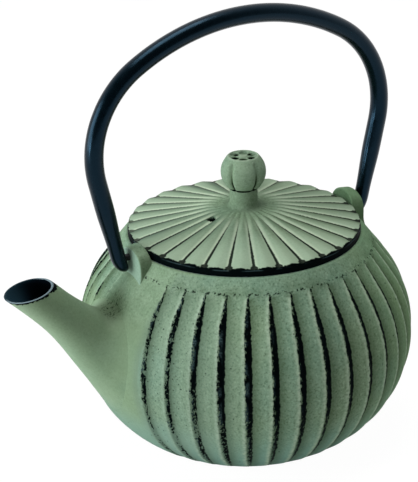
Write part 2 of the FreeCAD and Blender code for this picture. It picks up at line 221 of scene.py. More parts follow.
def rib_recess(angles, height):
    """How far the body lies below its plain surface: a steep step, then a slow rise to the next crest.

    Where a rib is slender its step starts later, so the step's lower edge keeps its line.
    """
    reach = rib_reach(height)
    width = rib_step_turn * reach
    turn = np.degrees(angles) - rib_start - rib_step_lean * (rib_step_turn - width)
    past = turn % rib_pitch
    middle = (turn - past + rib_first_angle) % 360
    kept = (middle < rib_bare_start) | (middle > rib_bare_end)
    step = smooth_step(past, 0, width)
    slow = np.clip((rib_pitch - past) / (rib_pitch - width), 0, 1) ** 1.15
    top = smooth_step(-height, -rib_top, 2.4 * mm - rib_top)
    ends = top * smooth_step(height, rib_foot, rib_foot + 4 * mm)
    return rib_depth * reach * ends * kept * np.where(past < width, step, slow)



def rib_columns():
    """Angles of the body's columns, close together at each step and wider on the panels."""
    step = np.linspace(0, rib_step_turn * 1.08, 9)[:-1]
    panel = np.linspace(rib_step_turn * 1.08, rib_pitch, 7)[:-1]
    first = np.concatenate([step, panel])
    return np.radians((rib_start + first[None, :] + rib_pitch * np.arange(rib_count)[:, None]).ravel())


def pot_shell():
    """The body's outside, rim, seat, inner wall and floor as one turned surface."""
    angles = rib_columns()
    base_turn = -np.degrees(np.arcsin((belly_height - base_round) / lower_arc))
    lower_centre = [belly_radius - lower_arc, belly_height]
    upper_centre = [belly_radius - upper_arc, belly_height]
    base_side = arc(lower_centre, lower_arc, base_turn, 0, 30)
    upper_side = arc(upper_centre, upper_arc, 0, 90 - shoulder_slope, 20)
    rim_start = [rim_radius + rim_round * slope_across, rim_height - rim_round * slope_down]
    outside = joined(
        straight([0, 0], [base_radius - base_round, 0], 4),
        bend([base_radius - base_round, 0], [base_radius, 0], base_side[0], 5),
        base_side,
        upper_side,
        straight(upper_side[-1], rim_start, 26),
    )
    rows = outside[:, 1]
    recess = rib_recess(angles[None, :], rows[:, None])
    radius = outside[:, :1] - recess
    skin = np.stack([radius * np.cos(angles), radius * np.sin(angles), rows[:, None] + 0 * angles], -1)
    seat_radius = rim_radius - rim_width
    throat = seat_radius - seat_width
    seat = rim_height - seat_depth
    seat_under = seat - seat_thickness
    inner_top = [body_radius(np.array(seat_under)) - pot_wall / slope_down, seat_under]
    floor_turn = -np.degrees(np.arcsin((belly_height - floor_height) / (lower_arc - pot_wall)))
    inner_lower = arc(lower_centre, lower_arc - pot_wall, 0, floor_turn, 14)
    inner_upper = arc(upper_centre, upper_arc - pot_wall, 90 - shoulder_slope, 0, 8)
    lip = 0.5 * mm
    inside = joined(
        bend(rim_start, [rim_radius, rim_height], [rim_radius - rim_round, rim_height], 5),
        straight([rim_radius - rim_round, rim_height], [seat_radius + lip, rim_height], 3),
        bend([seat_radius + lip, rim_height], [seat_radius, rim_height], [seat_radius, rim_height - lip], 4),
        straight([seat_radius, rim_height - lip], [seat_radius, seat], 2),
        straight([seat_radius, seat], [throat, seat], 3),
        straight([throat, seat], [throat, seat_under], 3),
        straight([throat, seat_under], inner_top, 3),
        straight(inner_top, inner_upper[0], 3),
        inner_upper,
        inner_lower,
        straight(inner_lower[-1], [0, floor_height], 4),
    )
    hidden = turned(inside, angles)[1:]
    region = [PAINTED_RIBS] * len(skin) + [PAINTED_PLAIN] * 4 + [BLACK_INSIDE] * (len(hidden) - 4)
    return np.concatenate([skin, hidden]), region


def spout_curve(share):
    """Middle line of the spout, a cubic curve in the XZ plane, with its unit direction."""
    root_turn = np.radians(spout_root_slope)
    mouth_turn = np.radians(spout_mouth_slope)
    leave = spout_root + np.array([-np.cos(root_turn), np.sin(root_turn)]) * spout_root_pull
    arrive = spout_mouth - np.array([-np.cos(mouth_turn), np.sin(mouth_turn)]) * spout_mouth_pull
    share = share[..., None]
    rest = 1 - share
    point = spout_root * rest**3 + leave * 3 * rest**2 * share
    point = point + arrive * 3 * rest * share**2 + spout_mouth * share**3
    heading = (leave - spout_root) * rest**2 + (arrive - leave) * 2 * rest * share
    heading = heading + (spout_mouth - arrive) * share**2
    return point, heading / np.linalg.norm(heading, axis=-1, keepdims=True)


def spout_ring(share, around, inset):
    """Points of the spout's oval section: middle + up * height * cos + across * width * sin."""
    point, heading = spout_curve(share)
    flare = np.maximum(1 - share, 0) ** spout_flare_power
    height = (spout_neck_height + spout_flare_height * flare - inset) * np.cos(around)
    width = (spout_neck_width + spout_flare_width * flare - inset) * np.sin(around)
    x = point[..., 0] + heading[..., 1] * height
    z = point[..., 1] - heading[..., 0] * height
    return np.stack([x, width + 0 * x, z], -1)


def to_mouth_plane(ring):
    """How far a ring at the spout's end has to move along the spout to lie in the tipped mouth plane."""
    tilt = np.radians(spout_mouth_tilt)
    normal = np.array([-np.sin(tilt), np.cos(tilt)])
    turn = np.radians(spout_mouth_slope)
    heading = np.array([-np.cos(turn), np.sin(turn)])
    away = (ring[..., [0, 2]] - spout_mouth) @ normal
    along = -away / (heading @ normal)
    return along[..., None] * np.array([heading[0], 0, heading[1]])


def on_body(around, middle, up, down, side, depth):
    """An oval on the body below the spout, a depth inside the plain surface."""
    height = middle + np.where(np.cos(around) > 0, up, down) * np.cos(around)
    across = side * np.sin(around)
    radius = body_radius(height) - depth
    return np.stack([-np.sqrt(radius**2 - across**2), across, height], -1)


def spout():
    """The spout: a foot that leaves the body along its surface, the neck, a rounded lip and the bore.

    Between the oval on the body and the neck the surface is a cubic Hermite blend, which
    follows the body at one end and the neck at the other. The bore ends in an oval inside
    the pot's wall, and the last row closes the surface within that wall.
    """
    around = np.linspace(0, 2 * np.pi, 120, endpoint=False)
    foot = on_body(around, spout_foot_middle, spout_foot_up, spout_foot_down, spout_foot_side, spout_foot_sink)
    within = 0.9
    smaller = on_body(around, spout_foot_middle, spout_foot_up * within, spout_foot_down * within,
                      spout_foot_side * within, spout_foot_sink)
    recess = rib_recess(np.arctan2(foot[:, 1], foot[:, 0]) % (2 * np.pi), foot[:, 2])
    foot[:, :2] *= (1 - recess / np.hypot(foot[:, 0], foot[:, 1]))[:, None]
    neck = spout_ring(np.full_like(around, spout_join), around, 0)
    ahead = spout_ring(np.full_like(around, spout_join + 0.01), around, 0) - neck
    inward = smaller - foot
    chord = np.linalg.norm(neck - foot, axis=-1, keepdims=True)
    pull = 0.85 - 0.35 * np.maximum(np.cos(around), 0)[:, None]
    inward = inward / np.linalg.norm(inward, axis=-1, keepdims=True) * chord * pull
    ahead = ahead / np.linalg.norm(ahead, axis=-1, keepdims=True) * chord
    share = np.linspace(0, 1, 30)[:, None, None]
    blend = foot * (2 * share**3 - 3 * share**2 + 1) + inward * (share**3 - 2 * share**2 + share)
    blend = blend + neck * (3 * share**2 - 2 * share**3) + ahead * (share**3 - share**2)
    shares = np.linspace(spout_join, 1, 26)[1:, None]
    outer = spout_ring(shares, around, 0)
    outer = outer + to_mouth_plane(outer[-1]) * smooth_step(shares, 0.72, 1)[..., None]
    turn = np.linspace(0, np.pi, 9)[1:, None]
    mouth_turn = np.radians(spout_mouth_slope)
    heading = np.array([-np.cos(mouth_turn), 0, np.sin(mouth_turn)])
    lip = spout_ring(np.ones_like(turn), around, spout_lip / 2 * (1 - np.cos(turn)))
    lip = lip + to_mouth_plane(lip) + heading * (0.45 * spout_lip * np.sin(turn))[..., None]
    shares = np.linspace(1, spout_join, 20)[1:, None]
    bore = spout_ring(shares, around, spout_lip)
    bore = bore + (lip[-1] - spout_ring(np.ones_like(around), around, spout_lip)) * smooth_step(shares, 0.72, 1)[..., None]
    bore_foot = on_body(around, bore_middle, bore_half_height, bore_half_height, bore_half_width, pot_wall + 0.2 * mm)
    share = np.linspace(0, 1, 10)[1:, None, None]
    inner = bore[-1] * (1 - share) + bore_foot * share
    rows = [blend, outer, lip, bore, inner, foot[None]]
    plain = len(blend) + len(outer)
    black = len(bore) + len(inner) + 1
    root = SPOUT_ROOT * np.clip(1 - np.arange(plain) / (0.8 * len(blend)), 0, 1)
    region = [*(PAINTED_PLAIN + root)] + [BARE_LIP] * (len(lip) - 1) + [BLACK_INSIDE] * (black + 1)
    return np.concatenate(rows), region


def clear_of_bore(middles):
    """False for the quads of the body's wall where the spout's bore opens into the pot."""
    up = (middles[:, 2] - bore_middle) / bore_half_height
    side = middles[:, 1] / bore_half_width
    depth = body_radius(middles[:, 2]) - np.hypot(middles[:, 0], middles[:, 1])
    on_wall = (np.abs(depth) < rib_depth * 1.1) | (np.abs(depth - pot_wall) < 0.15 * mm)
    return ~((up**2 + side**2 < 0.95) & on_wall & (middles[:, 0] < 0))


def ear(side):
    """An ear: an arch with rounded edges whose outer face spreads into the shoulder.

    The arch is half of a superellipse on two straight legs. Each row shrinks it towards the
    ear's middle line, and the rows run from the inner face over the edges to the outer face.
    The arch falls outwards, and the legs widen towards the shoulder.
    """
    top = ear_tops[side]
    spring = top - ear_arch
    turn = np.radians(np.linspace(180, 0, 41))
    rounder = 2 / ear_arch_power
    across = np.sign(np.cos(turn)) * np.abs(np.cos(turn)) ** rounder
    arch = np.stack([across, spring + ear_arch * np.sin(turn) ** rounder], -1)
    leg = np.linspace(ear_foot, spring, 24)[:-1]
    left = np.stack([0 * leg - 1, leg], -1)
    floor = straight([1, ear_foot], [-1, ear_foot], 8)[1:-1]
    outline = np.concatenate([left, arch, left[::-1] * [-1, 1], floor])
    spine = np.stack([0 * outline[:, 0], np.minimum(outline[:, 1], spring)], -1)
    quarter = np.radians(np.linspace(0, 90, 6))
    edge = ear_edge / ear_half_width
    face = np.linspace(1, edge, 9)
    round_in = edge * (1 - np.sin(quarter))
    round_out = edge * (1 - np.cos(quarter))
    top_run = 0 * np.linspace(0, 1, 5)
    inset = np.concatenate([face, round_in[1:], top_run, round_out, face[::-1][1:]])[:, None, None]
    points = outline * (1 - inset) + spine * inset
    height = points[..., 1]
    drop = np.clip(ear_flare_height - height, 0, ear_flare_drop)
    sideways = points[..., 0] * (ear_half_width + ear_flare_side * (drop / ear_flare_drop) ** 1.3)
    outer = ear_outer + ear_flare_radius - np.sqrt(ear_flare_radius**2 - drop**2)
    inner = np.sqrt(ear_inner_radius**2 - (sideways + abs(ear_middle)) ** 2)
    over = np.linspace(0, 1, 7)[1:-1]
    outward = np.concatenate([0 * face, 0 * quarter[1:], over, 0 * quarter + 1, 0 * face[1:] + 1])
    behind = np.concatenate([0 * face, ear_edge * (1 - np.cos(quarter))[1:]])
    before = np.concatenate([ear_edge * (1 - np.sin(quarter)), 0 * face[1:]])
    shift = np.concatenate([behind, ear_edge * np.linspace(1, -1, 7)[1:-1], -before])
    outward = outward[:, None]
    out = inner * (1 - outward) + outer * outward + shift[:, None]
    on_arch = np.clip((height - spring) / ear_arch, 0, 1)
    height = height - ear_top_fall * np.maximum(out - inner, 0) * on_arch
    return np.stack([out * side, ear_middle + sideways * -side, height], -1)


shell, shell_region = pot_shell()
spout_surface, spout_region = spout()
ears = [ear(-1), ear(1)]
ear_region = [PAINTED_PLAIN] * len(ears[0])
pot = make_piece(
    "pot_casting",
    [shell, spout_surface] + ears,
    [shell_region, spout_region, ear_region, ear_region],
    keep=clear_of_bore,
)
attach(pot, "pot")
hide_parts("pot_body")


def new_material(name):
    """A node material, with its tree and its principled shader."""
    material = bpy.data.materials.new(name)
    material.use_nodes = True
    return material, material.node_tree, material.node_tree.nodes["Principled BSDF"]


def add_node(tree, kind, inputs=(), **settings):
    """A shader node: its own settings, and its inputs as plain values or as sockets to link."""
    made = tree.nodes.new("ShaderNode" + kind)
    for key, value in settings.items():
        setattr(made, key, value)
    for key, value in dict(inputs).items():
        if isinstance(value, bpy.types.NodeSocket):
            tree.links.new(value, made.inputs[key])
        else:
            made.inputs[key].default_value = value
    return made


def sum_up(tree, operation, *values):
    """The result of a math node on values or sockets."""
    return add_node(tree, "Math", enumerate(values), operation=operation).outputs[0]


def rise(tree, value, low, high, bottom=0.0, top=1.0):
    """A smooth rise from bottom to top while a value goes from low to high."""
    inputs = {"Value": value, "From Min": low, "From Max": high, "To Min": bottom, "To Max": top}
    return add_node(tree, "MapRange", inputs, interpolation_type="SMOOTHSTEP").outputs[0]


def product(tree, first, *others):
    """All values multiplied."""
    for value in others:
        first = sum_up(tree, "MULTIPLY", first, value)
    return first


def mix_colours(tree, share, first, second, way="MIX"):
    """Two colours mixed by a share."""
    inputs = {0: share, 6: first, 7: second}
    return add_node(tree, "Mix", inputs, data_type="RGBA", blend_type=way).outputs[2]


def grain(tree, place, size, detail=2.0, roughness=0.5):
    """Noise between 0 and 1 with lumps of a size in metres."""
    inputs = {"Vector": place, "Scale": 1 / size, "Detail": detail, "Roughness": roughness}
    return add_node(tree, "TexNoise", inputs).outputs[0]


def specks(tree, place, spacing, size, share):
    """1 in round specks of a size, one in each cell of a spacing, in a share of the cells."""
    cells = add_node(tree, "TexVoronoi", {"Vector": place, "Scale": 1 / spacing, "Randomness": 1.0})
    close = rise(tree, cells.outputs["Distance"], size / spacing, size / spacing * 0.55)
    pick = add_node(tree, "SeparateColor", {"Color": cells.outputs["Color"]}).outputs[0]
    return sum_up(tree, "MULTIPLY", close, sum_up(tree, "LESS_THAN", pick, share))


sage = (0.194, 0.305, 0.208, 1)
sage_cool = (0.175, 0.302, 0.225, 1)
sage_warm = (0.218, 0.310, 0.190, 1)
sage_pale = (0.43, 0.56, 0.42, 1)
olive_shade = (0.062, 0.102, 0.050, 1)
iron_black = (0.0012, 0.003, 0.0035, 1)
# Grey of bare worn iron on the pot, and of the painted glint on the lid's edge.
wear_and_glint_grey = (0.055, 0.095, 0.105, 1)
paint_gloss = 0.006


def sage_paint(tree, place, rough=0.7):
    """Sage paint with slow drifts of warm and cool, and a fine grain of light and dark."""
    drift = grain(tree, place, 34 * mm, 2.0)
    paint = mix_colours(tree, rise(tree, drift, 0.35, 0.65), sage_cool, sage_warm)
    paint = mix_colours(tree, 0.5, paint, sage)
    mottle = grain(tree, place, 5 * mm, 3.0)
    paint = mix_colours(tree, rise(tree, mottle, 0.3, 0.75, 0.0, 0.16), paint, sage_pale)
    fine = grain(tree, place, 1.0 * mm, 2.0, 0.6)
    paint = mix_colours(tree, product(tree, rise(tree, fine, 0.54, 0.75, 0.0, 0.42), rough), paint, sage_pale)
    return mix_colours(tree, product(tree, rise(tree, fine, 0.52, 0.25, 0.0, 0.65), rough), paint, olive_shade)


def cast_bump(tree, place, shader, strength=0.35):
    """The fine sandy skin of a casting under paint."""
    skin = sum_up(tree, "ADD", grain(tree, place, 0.8 * mm, 3.0), grain(tree, place, 3.0 * mm, 1.0))
    bump = add_node(tree, "Bump", {"Strength": strength, "Distance": 0.12 * mm, "Height": skin})
    tree.links.new(bump.outputs[0], shader.inputs["Normal"])


def band(tree, value, low, high):
    """1 while a value lies between two limits."""
    above = sum_up(tree, "GREATER_THAN", value, low)
    return sum_up(tree, "MULTIPLY", above, sum_up(tree, "LESS_THAN", value, high))


def spread(tree, noise, gain):
    """Noise moved to swing about 0 with a gain."""
    return sum_up(tree, "MULTIPLY", sum_up(tree, "SUBTRACT", noise, 0.5), gain)


def pot_iron():
    """Sage paint, black in the steps between the ribs, with ragged edges, crests pale from rubbing and from a painted
    highlight, and painted light and shade.
    """
    material, tree, shader = new_material("pot_iron")
    place = add_node(tree, "TexCoord").outputs["Object"]
    region = add_node(tree, "Attribute", attribute_name="region").outputs["Fac"]
    on_shell = sum_up(tree, "LESS_THAN", region, 0.5)
    x, y, z = add_node(tree, "SeparateXYZ", {0: place}).outputs[:3]
    flat = add_node(tree, "CombineXYZ", {0: x, 1: y}).outputs[0]
    radius = add_node(tree, "VectorMath", {0: flat}, operation="LENGTH").outputs["Value"]
    arc_length = sum_up(tree, "MULTIPLY", radius, np.pi / 180)
    upright = add_node(tree, "Mapping", {"Vector": place, "Scale": (1, 1, 0.6)}).outputs[0]

    # Where a point lies across its rib
    reach = product(
        tree,
        rise(tree, z, rib_top, rib_full_below, rib_thin_top, 1.0),
        rise(tree, z, rib_foot, rib_full_above, rib_thin_foot, 1.0),
    )
    narrowed = product(tree, sum_up(tree, "SUBTRACT", 1.0, reach), rib_step_turn * rib_step_lean)
    turn = product(tree, sum_up(tree, "ARCTAN2", y, x), 180 / np.pi)
    turn = sum_up(tree, "SUBTRACT", sum_up(tree, "ADD", turn, 720 - rib_start), narrowed)
    past = sum_up(tree, "MODULO", turn, rib_pitch)
    middle = sum_up(tree, "SUBTRACT", sum_up(tree, "ADD", turn, rib_first_angle), past)
    bare = band(tree, sum_up(tree, "MODULO", middle, 360.0), rib_bare_start, rib_bare_end)
    ribbed = product(tree, sum_up(tree, "SUBTRACT", 1.0, bare), on_shell)
    along = product(tree, past, arc_length)
    to_crest = product(tree, sum_up(tree, "SUBTRACT", rib_pitch, past), arc_length)

    # Black in the steps: narrower beside and behind the spout, torn by paint near the base
    left_side = rise(tree, x, -46 * mm, -70 * mm)
    behind = product(tree, left_side, rise(tree, y, -8 * mm, 8 * mm))
    low_side = rise(tree, z, 56 * mm, 34 * mm)
    thinner = sum_up(tree, "ADD", product(tree, left_side, 0.35), product(tree, behind, 0.30))
    width = product(tree, reach, rib_step_turn, arc_length, sum_up(tree, "SUBTRACT", 1.0, thinner))
    patches = grain(tree, place, 9 * mm, 2.0)
    covered = product(tree, left_side, rise(tree, patches, 0.35, 0.65, 0.1 * mm, 0.9 * mm))
    covered = sum_up(tree, "ADD", covered, rise(tree, z, 60 * mm, 24 * mm, 0.0, 1.0 * mm))
    flecks = spread(tree, grain(tree, upright, 1.15 * mm, 3.0, 0.7), 9.0)
    into = sum_up(tree, "DIVIDE", sum_up(tree, "SUBTRACT", along, covered), 0.7 * mm)
    gaps = product(tree, left_side, rise(tree, grain(tree, place, 14 * mm, 1.0), 0.42, 0.62, 0.4, 2.2))
    low_wear = product(tree, low_side, rise(tree, z, 8 * mm, 28 * mm, 0.3, 1.4), rise(tree, x, 40 * mm, 0.0, 0.4, 1.0))
    most = sum_up(tree, "SUBTRACT", 2.6, sum_up(tree, "ADD", low_wear, gaps))
    into = sum_up(tree, "MINIMUM", into, most)
    left = rise(tree, sum_up(tree, "ADD", into, flecks), 0.1, 0.9)
    past_width = sum_up(tree, "SUBTRACT", along, width)
    torn = spread(tree, grain(tree, upright, 1.2 * mm, 3.0, 0.7), 2.2 * mm)
    right = rise(tree, sum_up(tree, "SUBTRACT", past_width, torn), 0.12 * mm, -0.22 * mm)
    torn_height = sum_up(tree, "ADD", z, spread(tree, grain(tree, place, 1.4 * mm, 2.0), 4 * mm))
    ends = product(
        tree,
        rise(tree, torn_height, rib_top + 0.4 * mm, rib_top - 0.8 * mm),
        rise(tree, torn_height, rib_foot + 0.5 * mm, rib_foot + 3 * mm),
    )
    black = product(tree, left, right, ribbed, ends)

    # Paint: painted shade beside the step, where the crest shades the panel, and pale along the crest, partly from
    # rubbing and partly a painted highlight
    paint = sage_paint(tree, place, rise(tree, ribbed, 0.0, 1.0, 0.6, 1.0))
    # Painted light: paler and cooler towards the base, as if lit by the white table below.
    paint = mix_colours(tree, rise(tree, z, 42 * mm, 8 * mm, 0.0, 0.8), paint, (0.195, 0.360, 0.305, 1))
    # Painted shade: a deeper green towards the right side, turned from the light.
    paint = mix_colours(tree, rise(tree, x, 5 * mm, 65 * mm, 0.0, 0.5), paint, (0.175, 0.320, 0.140, 1))
    on_side = product(
        tree,
        ribbed,
        rise(tree, z, rib_top + 0.5 * mm, rib_top - 2.5 * mm),
        rise(tree, z, rib_foot, rib_foot + 5 * mm),
    )
    # Painted shade: olive on the panel just past the step, fading over 6 mm.
    shade = product(tree, rise(tree, past_width, 6.0 * mm, -0.2 * mm, 0.0, 0.65), on_side)
    paint = mix_colours(tree, shade, paint, olive_shade)
    # Pale crest strip: partly paint rubbed off the edge and partly a painted highlight.
    crest = sum_up(tree, "MAXIMUM", rise(tree, to_crest, 2.2 * mm, 0.2 * mm), rise(tree, along, 1.0 * mm, 0.0))
    rubbed_and_highlight = rise(tree, grain(tree, place, 1.5 * mm, 3.0), 0.3, 0.65, 0.25, 0.85)
    rubbed_and_highlight = product(tree, rubbed_and_highlight, sum_up(tree, "SUBTRACT", 1.0, product(tree, left_side, 0.5)))
    paint = mix_colours(tree, product(tree, crest, rubbed_and_highlight, on_side), paint, sage_pale)

    # Pits, a row of specks above the ribs with darker patches along it, and painted shade on the spout's near side, at
    # its root and in the crease above it
    pits = product(tree, specks(tree, place, 4.6 * mm, 0.5 * mm, 0.38), on_shell, 0.7)
    fine_pits = product(tree, specks(tree, place, 2.0 * mm, 0.42 * mm, 0.6), left_side, on_side, 0.85)
    off_line = sum_up(tree, "ABSOLUTE", sum_up(tree, "SUBTRACT", z, rib_top + 0.2 * mm))
    speck_row = rise(tree, grain(tree, place, 1.2 * mm, 2.0), 0.55, 0.60)
    speck_row = product(tree, rise(tree, off_line, 0.9 * mm, 0.2 * mm), speck_row, on_shell, 0.9)
    # Darker patches along the line above the ribs.
    line_patches = product(tree, rise(tree, off_line, 4.0 * mm, 0.0), rise(tree, patches, 0.45, 0.62, 0.0, 0.4))
    facing = add_node(tree, "SeparateXYZ", {0: add_node(tree, "NewGeometry").outputs["Normal"]}).outputs
    on_spout = product(tree, band(tree, region, 0.5, 1.2), rise(tree, x, -66 * mm, -70 * mm))
    beside_root = product(
        tree,
        on_shell,
        rise(tree, y, -29.0 * mm, -27.8 * mm),
        rise(tree, z, 86 * mm, 76 * mm),
        sum_up(tree, "LESS_THAN", x, -60 * mm),
    )
    root = product(tree, rise(tree, region, 1.02, 1.0 + SPOUT_ROOT, 0.22, 0.60), on_spout)
    root = sum_up(tree, "MAXIMUM", root, product(tree, beside_root, 0.60))
    root = product(tree, root, rise(tree, z, 28 * mm, 50 * mm))
    # Painted shade: the spout's near side darker, most at its root and beside it on the body.
    spout_near_shade = product(tree, rise(tree, facing[1], 0.1, -0.75), rise(tree, facing[2], -0.60, 0.10), root)
    on_ear = product(tree, band(tree, region, 0.5, 1.2), sum_up(tree, "GREATER_THAN", x, -66 * mm))
    # Painted shade: the ears' sides turned to the near side are darker.
    ear_side_shade = product(tree, rise(tree, facing[1], -0.5, -0.9, 0.0, 0.5), on_ear)
    paint = mix_colours(tree, sum_up(tree, "MAXIMUM", spout_near_shade, ear_side_shade), paint, olive_shade)
    # Painted light: the front ear's outer face, turned to the left, paler and cooler.
    ear_face_light = product(tree, rise(tree, facing[0], -0.5, -0.9, 0.0, 0.4), on_ear, sum_up(tree, "LESS_THAN", x, 0.0))
    paint = mix_colours(tree, ear_face_light, paint, (0.36, 0.54, 0.47, 1))
    off_foot = rise(tree, region, 1.0 + SPOUT_ROOT, 1.0 + 0.5 * SPOUT_ROOT)
    off_foot = product(tree, on_spout, sum_up(tree, "MAXIMUM", off_foot, rise(tree, z, 40 * mm, 55 * mm)))
    warmer = product(tree, sum_up(tree, "MAXIMUM", off_foot, beside_root), rise(tree, z, 20 * mm, 40 * mm, 0.0, 0.5))
    paint = mix_colours(tree, warmer, paint, sage_warm)
    cooler = product(tree, on_shell, rise(tree, x, -30 * mm, -55 * mm, 0.0, 0.25), rise(tree, y, -24 * mm, -28 * mm))
    paint = mix_colours(tree, cooler, paint, (0.140, 0.205, 0.190, 1))
    # Painted light: paler low on the left, as if lit by bounce from the table.
    low_left = product(tree, rise(tree, x, -40 * mm, -62 * mm, 0.0, 0.4), rise(tree, z, 42 * mm, 24 * mm))
    paint = mix_colours(tree, low_left, paint, (0.225, 0.335, 0.270, 1))
    # Painted light on the spout: paler on its top, as lit from above, and on its underside, as lit by the table below.
    spout_top_and_under_light = sum_up(
        tree,
        "ADD",
        rise(tree, facing[2], 0.55, 0.95, 0.0, 0.3),
        rise(tree, facing[2], -0.15, -0.70, 0.0, 0.35),
    )
    spout_top_and_under_light = product(tree, spout_top_and_under_light, off_foot)
    paint = mix_colours(tree, spout_top_and_under_light, paint, sage_pale)
    # Painted shade in the crease above the spout's root, and darker patches along the line above the ribs.
    crease_place = (-72.0 * mm, -3.0 * mm, 81.5 * mm)
    to_crease = add_node(tree, "VectorMath", {0: place, 1: crease_place}, operation="DISTANCE").outputs["Value"]
    crease = rise(tree, to_crease, 13 * mm, 3 * mm, 0.0, 0.7)
    paint = mix_colours(tree, sum_up(tree, "MAXIMUM", product(tree, line_patches, on_shell), crease), paint, olive_shade)
    crease_specks = product(tree, rise(tree, to_crease, 10 * mm, 3 * mm), rise(tree, flecks, 0.2, 1.0), 0.75)
    marks = sum_up(tree, "MAXIMUM", sum_up(tree, "MAXIMUM", pits, fine_pits), sum_up(tree, "MAXIMUM", speck_row, crease_specks))
    paint = mix_colours(tree, marks, paint, iron_black)

    # Bare iron, greyer where hands have rubbed it
    worn = rise(tree, grain(tree, upright, 6 * mm, 2.0), 0.48, 0.60)
    worn = product(
        tree,
        worn,
        rise(tree, grain(tree, place, 0.8 * mm, 2.0), 0.42, 0.58, 0.25, 1.0),
        rise(tree, sum_up(tree, "DIVIDE", along, width), 0.75, 0.35),
        rise(tree, x, -15 * mm, -50 * mm, 0.1, 1.0),
    )
    raw = mix_colours(tree, worn, iron_black, wear_and_glint_grey)
    colour = mix_colours(tree, black, paint, raw)

    # Spout: a bare lip, pale on its near side, and a chipped black line below it
    tilt = np.radians(spout_mouth_tilt)
    to_mouth = add_node(tree, "VectorMath", {0: place, 1: (spout_mouth[0], 0, spout_mouth[1])}, operation="SUBTRACT")
    up = (-np.sin(tilt), 0, np.cos(tilt))
    below = add_node(tree, "VectorMath", {0: to_mouth.outputs[0], 1: up}, operation="DOT_PRODUCT").outputs["Value"]
    chip = rise(tree, x, -105 * mm, -101.5 * mm, 0.8 * mm, 1.7 * mm)
    chip = sum_up(tree, "ADD", chip, spread(tree, grain(tree, place, 1.6 * mm, 3.0), 3.0 * mm))
    chipped = rise(tree, sum_up(tree, "ADD", below, chip), -0.25 * mm, 0.15 * mm)
    chipped = product(tree, chipped, sum_up(tree, "LESS_THAN", x, -95 * mm))
    colour = mix_colours(tree, chipped, colour, iron_black)
    near_side = sum_up(tree, "MAXIMUM", rise(tree, y, 2 * mm, -4 * mm), rise(tree, x, -107 * mm, -103 * mm))
    lip_colour = mix_colours(tree, near_side, (0.02, 0.045, 0.06, 1), (0.20, 0.27, 0.31, 1))
    colour = mix_colours(tree, band(tree, region, 1.2, 2.4), colour, lip_colour)
    # Black inside and underneath, with a painted bluish reflection on the bore's wall near the mouth.
    under = sum_up(tree, "LESS_THAN", z, 0.4 * mm)
    hidden = sum_up(tree, "MAXIMUM", sum_up(tree, "GREATER_THAN", region, 2.4), under)
    inside = mix_colours(tree, rise(tree, x, -104 * mm, -116 * mm), (0.003, 0.007, 0.012, 1), (0.016, 0.042, 0.062, 1))
    colour = mix_colours(tree, hidden, colour, inside)
    tree.links.new(colour, shader.inputs["Base Color"])
    rough = rise(tree, grain(tree, place, 1.2 * mm, 2.0), 0.3, 0.7, 0.50, 0.68)
    rough = sum_up(tree, "SUBTRACT", rough, product(tree, hidden, 0.25))
    tree.links.new(rough, shader.inputs["Roughness"])
    shader.inputs["Specular IOR Level"].default_value = paint_gloss
    cast_bump(tree, place, shader)
    return material


pot.data.materials.append(pot_iron())


# Infuser
# A stainless basket that hangs on a seat inside the pot's mouth: a flanged collar, a
# perforated sleeve and a pressed base.
sheet = 0.6 * mm
collar_radius = 45.6 * mm
collar_foot = 95.1 * mm
flange_radius = 50.6 * mm
flange_under = 101.1 * mm
flange_top = 101.9 * mm
sleeve_radius = 44.6 * mm
basket_foot = 46.1 * mm
basket_lip = 4.0 * mm
hole_columns = 300
hole_rows = 110


def flanged_collar():
    """A flat flange on a short tube, one turned closed profile."""
    angles = np.linspace(0, 2 * np.pi, 180, endpoint=False)
    inner = collar_radius - sheet
    edge = sheet / 2
    profile = joined(
        straight([inner, collar_foot], [collar_radius, collar_foot], 2),
        straight([collar_radius, collar_foot], [collar_radius, flange_under], 4),
        straight([collar_radius, flange_under], [flange_radius - edge, flange_under], 4),
        bend([flange_radius - edge, flange_under], [flange_radius, flange_under], [flange_radius, flange_top - edge], 4),
        bend([flange_radius, flange_top - edge], [flange_radius, flange_top], [flange_radius - edge, flange_top], 4),
        straight([flange_radius - edge, flange_top], [inner + edge, flange_top], 4),
        bend([inner + edge, flange_top], [inner, flange_top], [inner, flange_top - edge], 4),
        straight([inner, flange_top - edge], [inner, collar_foot], 5),
    )
    return turned(profile, angles)


def pressed_base():
    """A flat disc with an upright lip, pressed with a low round step."""
    angles = np.linspace(0, 2 * np.pi, 180, endpoint=False)
    inner = collar_radius - sheet
    corner = 0.9 * mm
    lip_top = basket_foot + basket_lip
    floor_top = basket_foot + sheet
    profile = joined(
        straight([0, basket_foot], [collar_radius - corner, basket_foot], 5),
        bend([collar_radius - corner, basket_foot], [collar_radius, basket_foot], [collar_radius, basket_foot + corner], 5),
        straight([collar_radius, basket_foot + corner], [collar_radius, lip_top], 3),
        straight([collar_radius, lip_top], [inner, lip_top], 2),
        straight([inner, lip_top], [inner, floor_top], 3),
        straight([inner, floor_top], [0, floor_top], 5),
    )
    return turned(profile, angles)


def sleeve_sheet():
    """A plain tube, cut into the small cells of the perforation."""
    angles = np.linspace(0, 2 * np.pi, hole_columns, endpoint=False)
    profile = straight([sleeve_radius, basket_foot + sheet], [sleeve_radius, flange_top], hole_rows + 1)
    return turned(profile, angles)


def between_holes(middles):
    """False for every second cell of every second row, apart from the solid ends of the tube."""
    step = (flange_top - basket_foot - sheet) / hole_rows
    row = np.floor((middles[:, 2] - basket_foot - sheet) / step)
    column = np.floor(np.arctan2(middles[:, 1], middles[:, 0]) / (2 * np.pi) * hole_columns)
    solid = (middles[:, 2] > collar_foot) | (middles[:, 2] < basket_foot + basket_lip)
    return solid | (row % 2 == 0) | (column % 2 == 0)


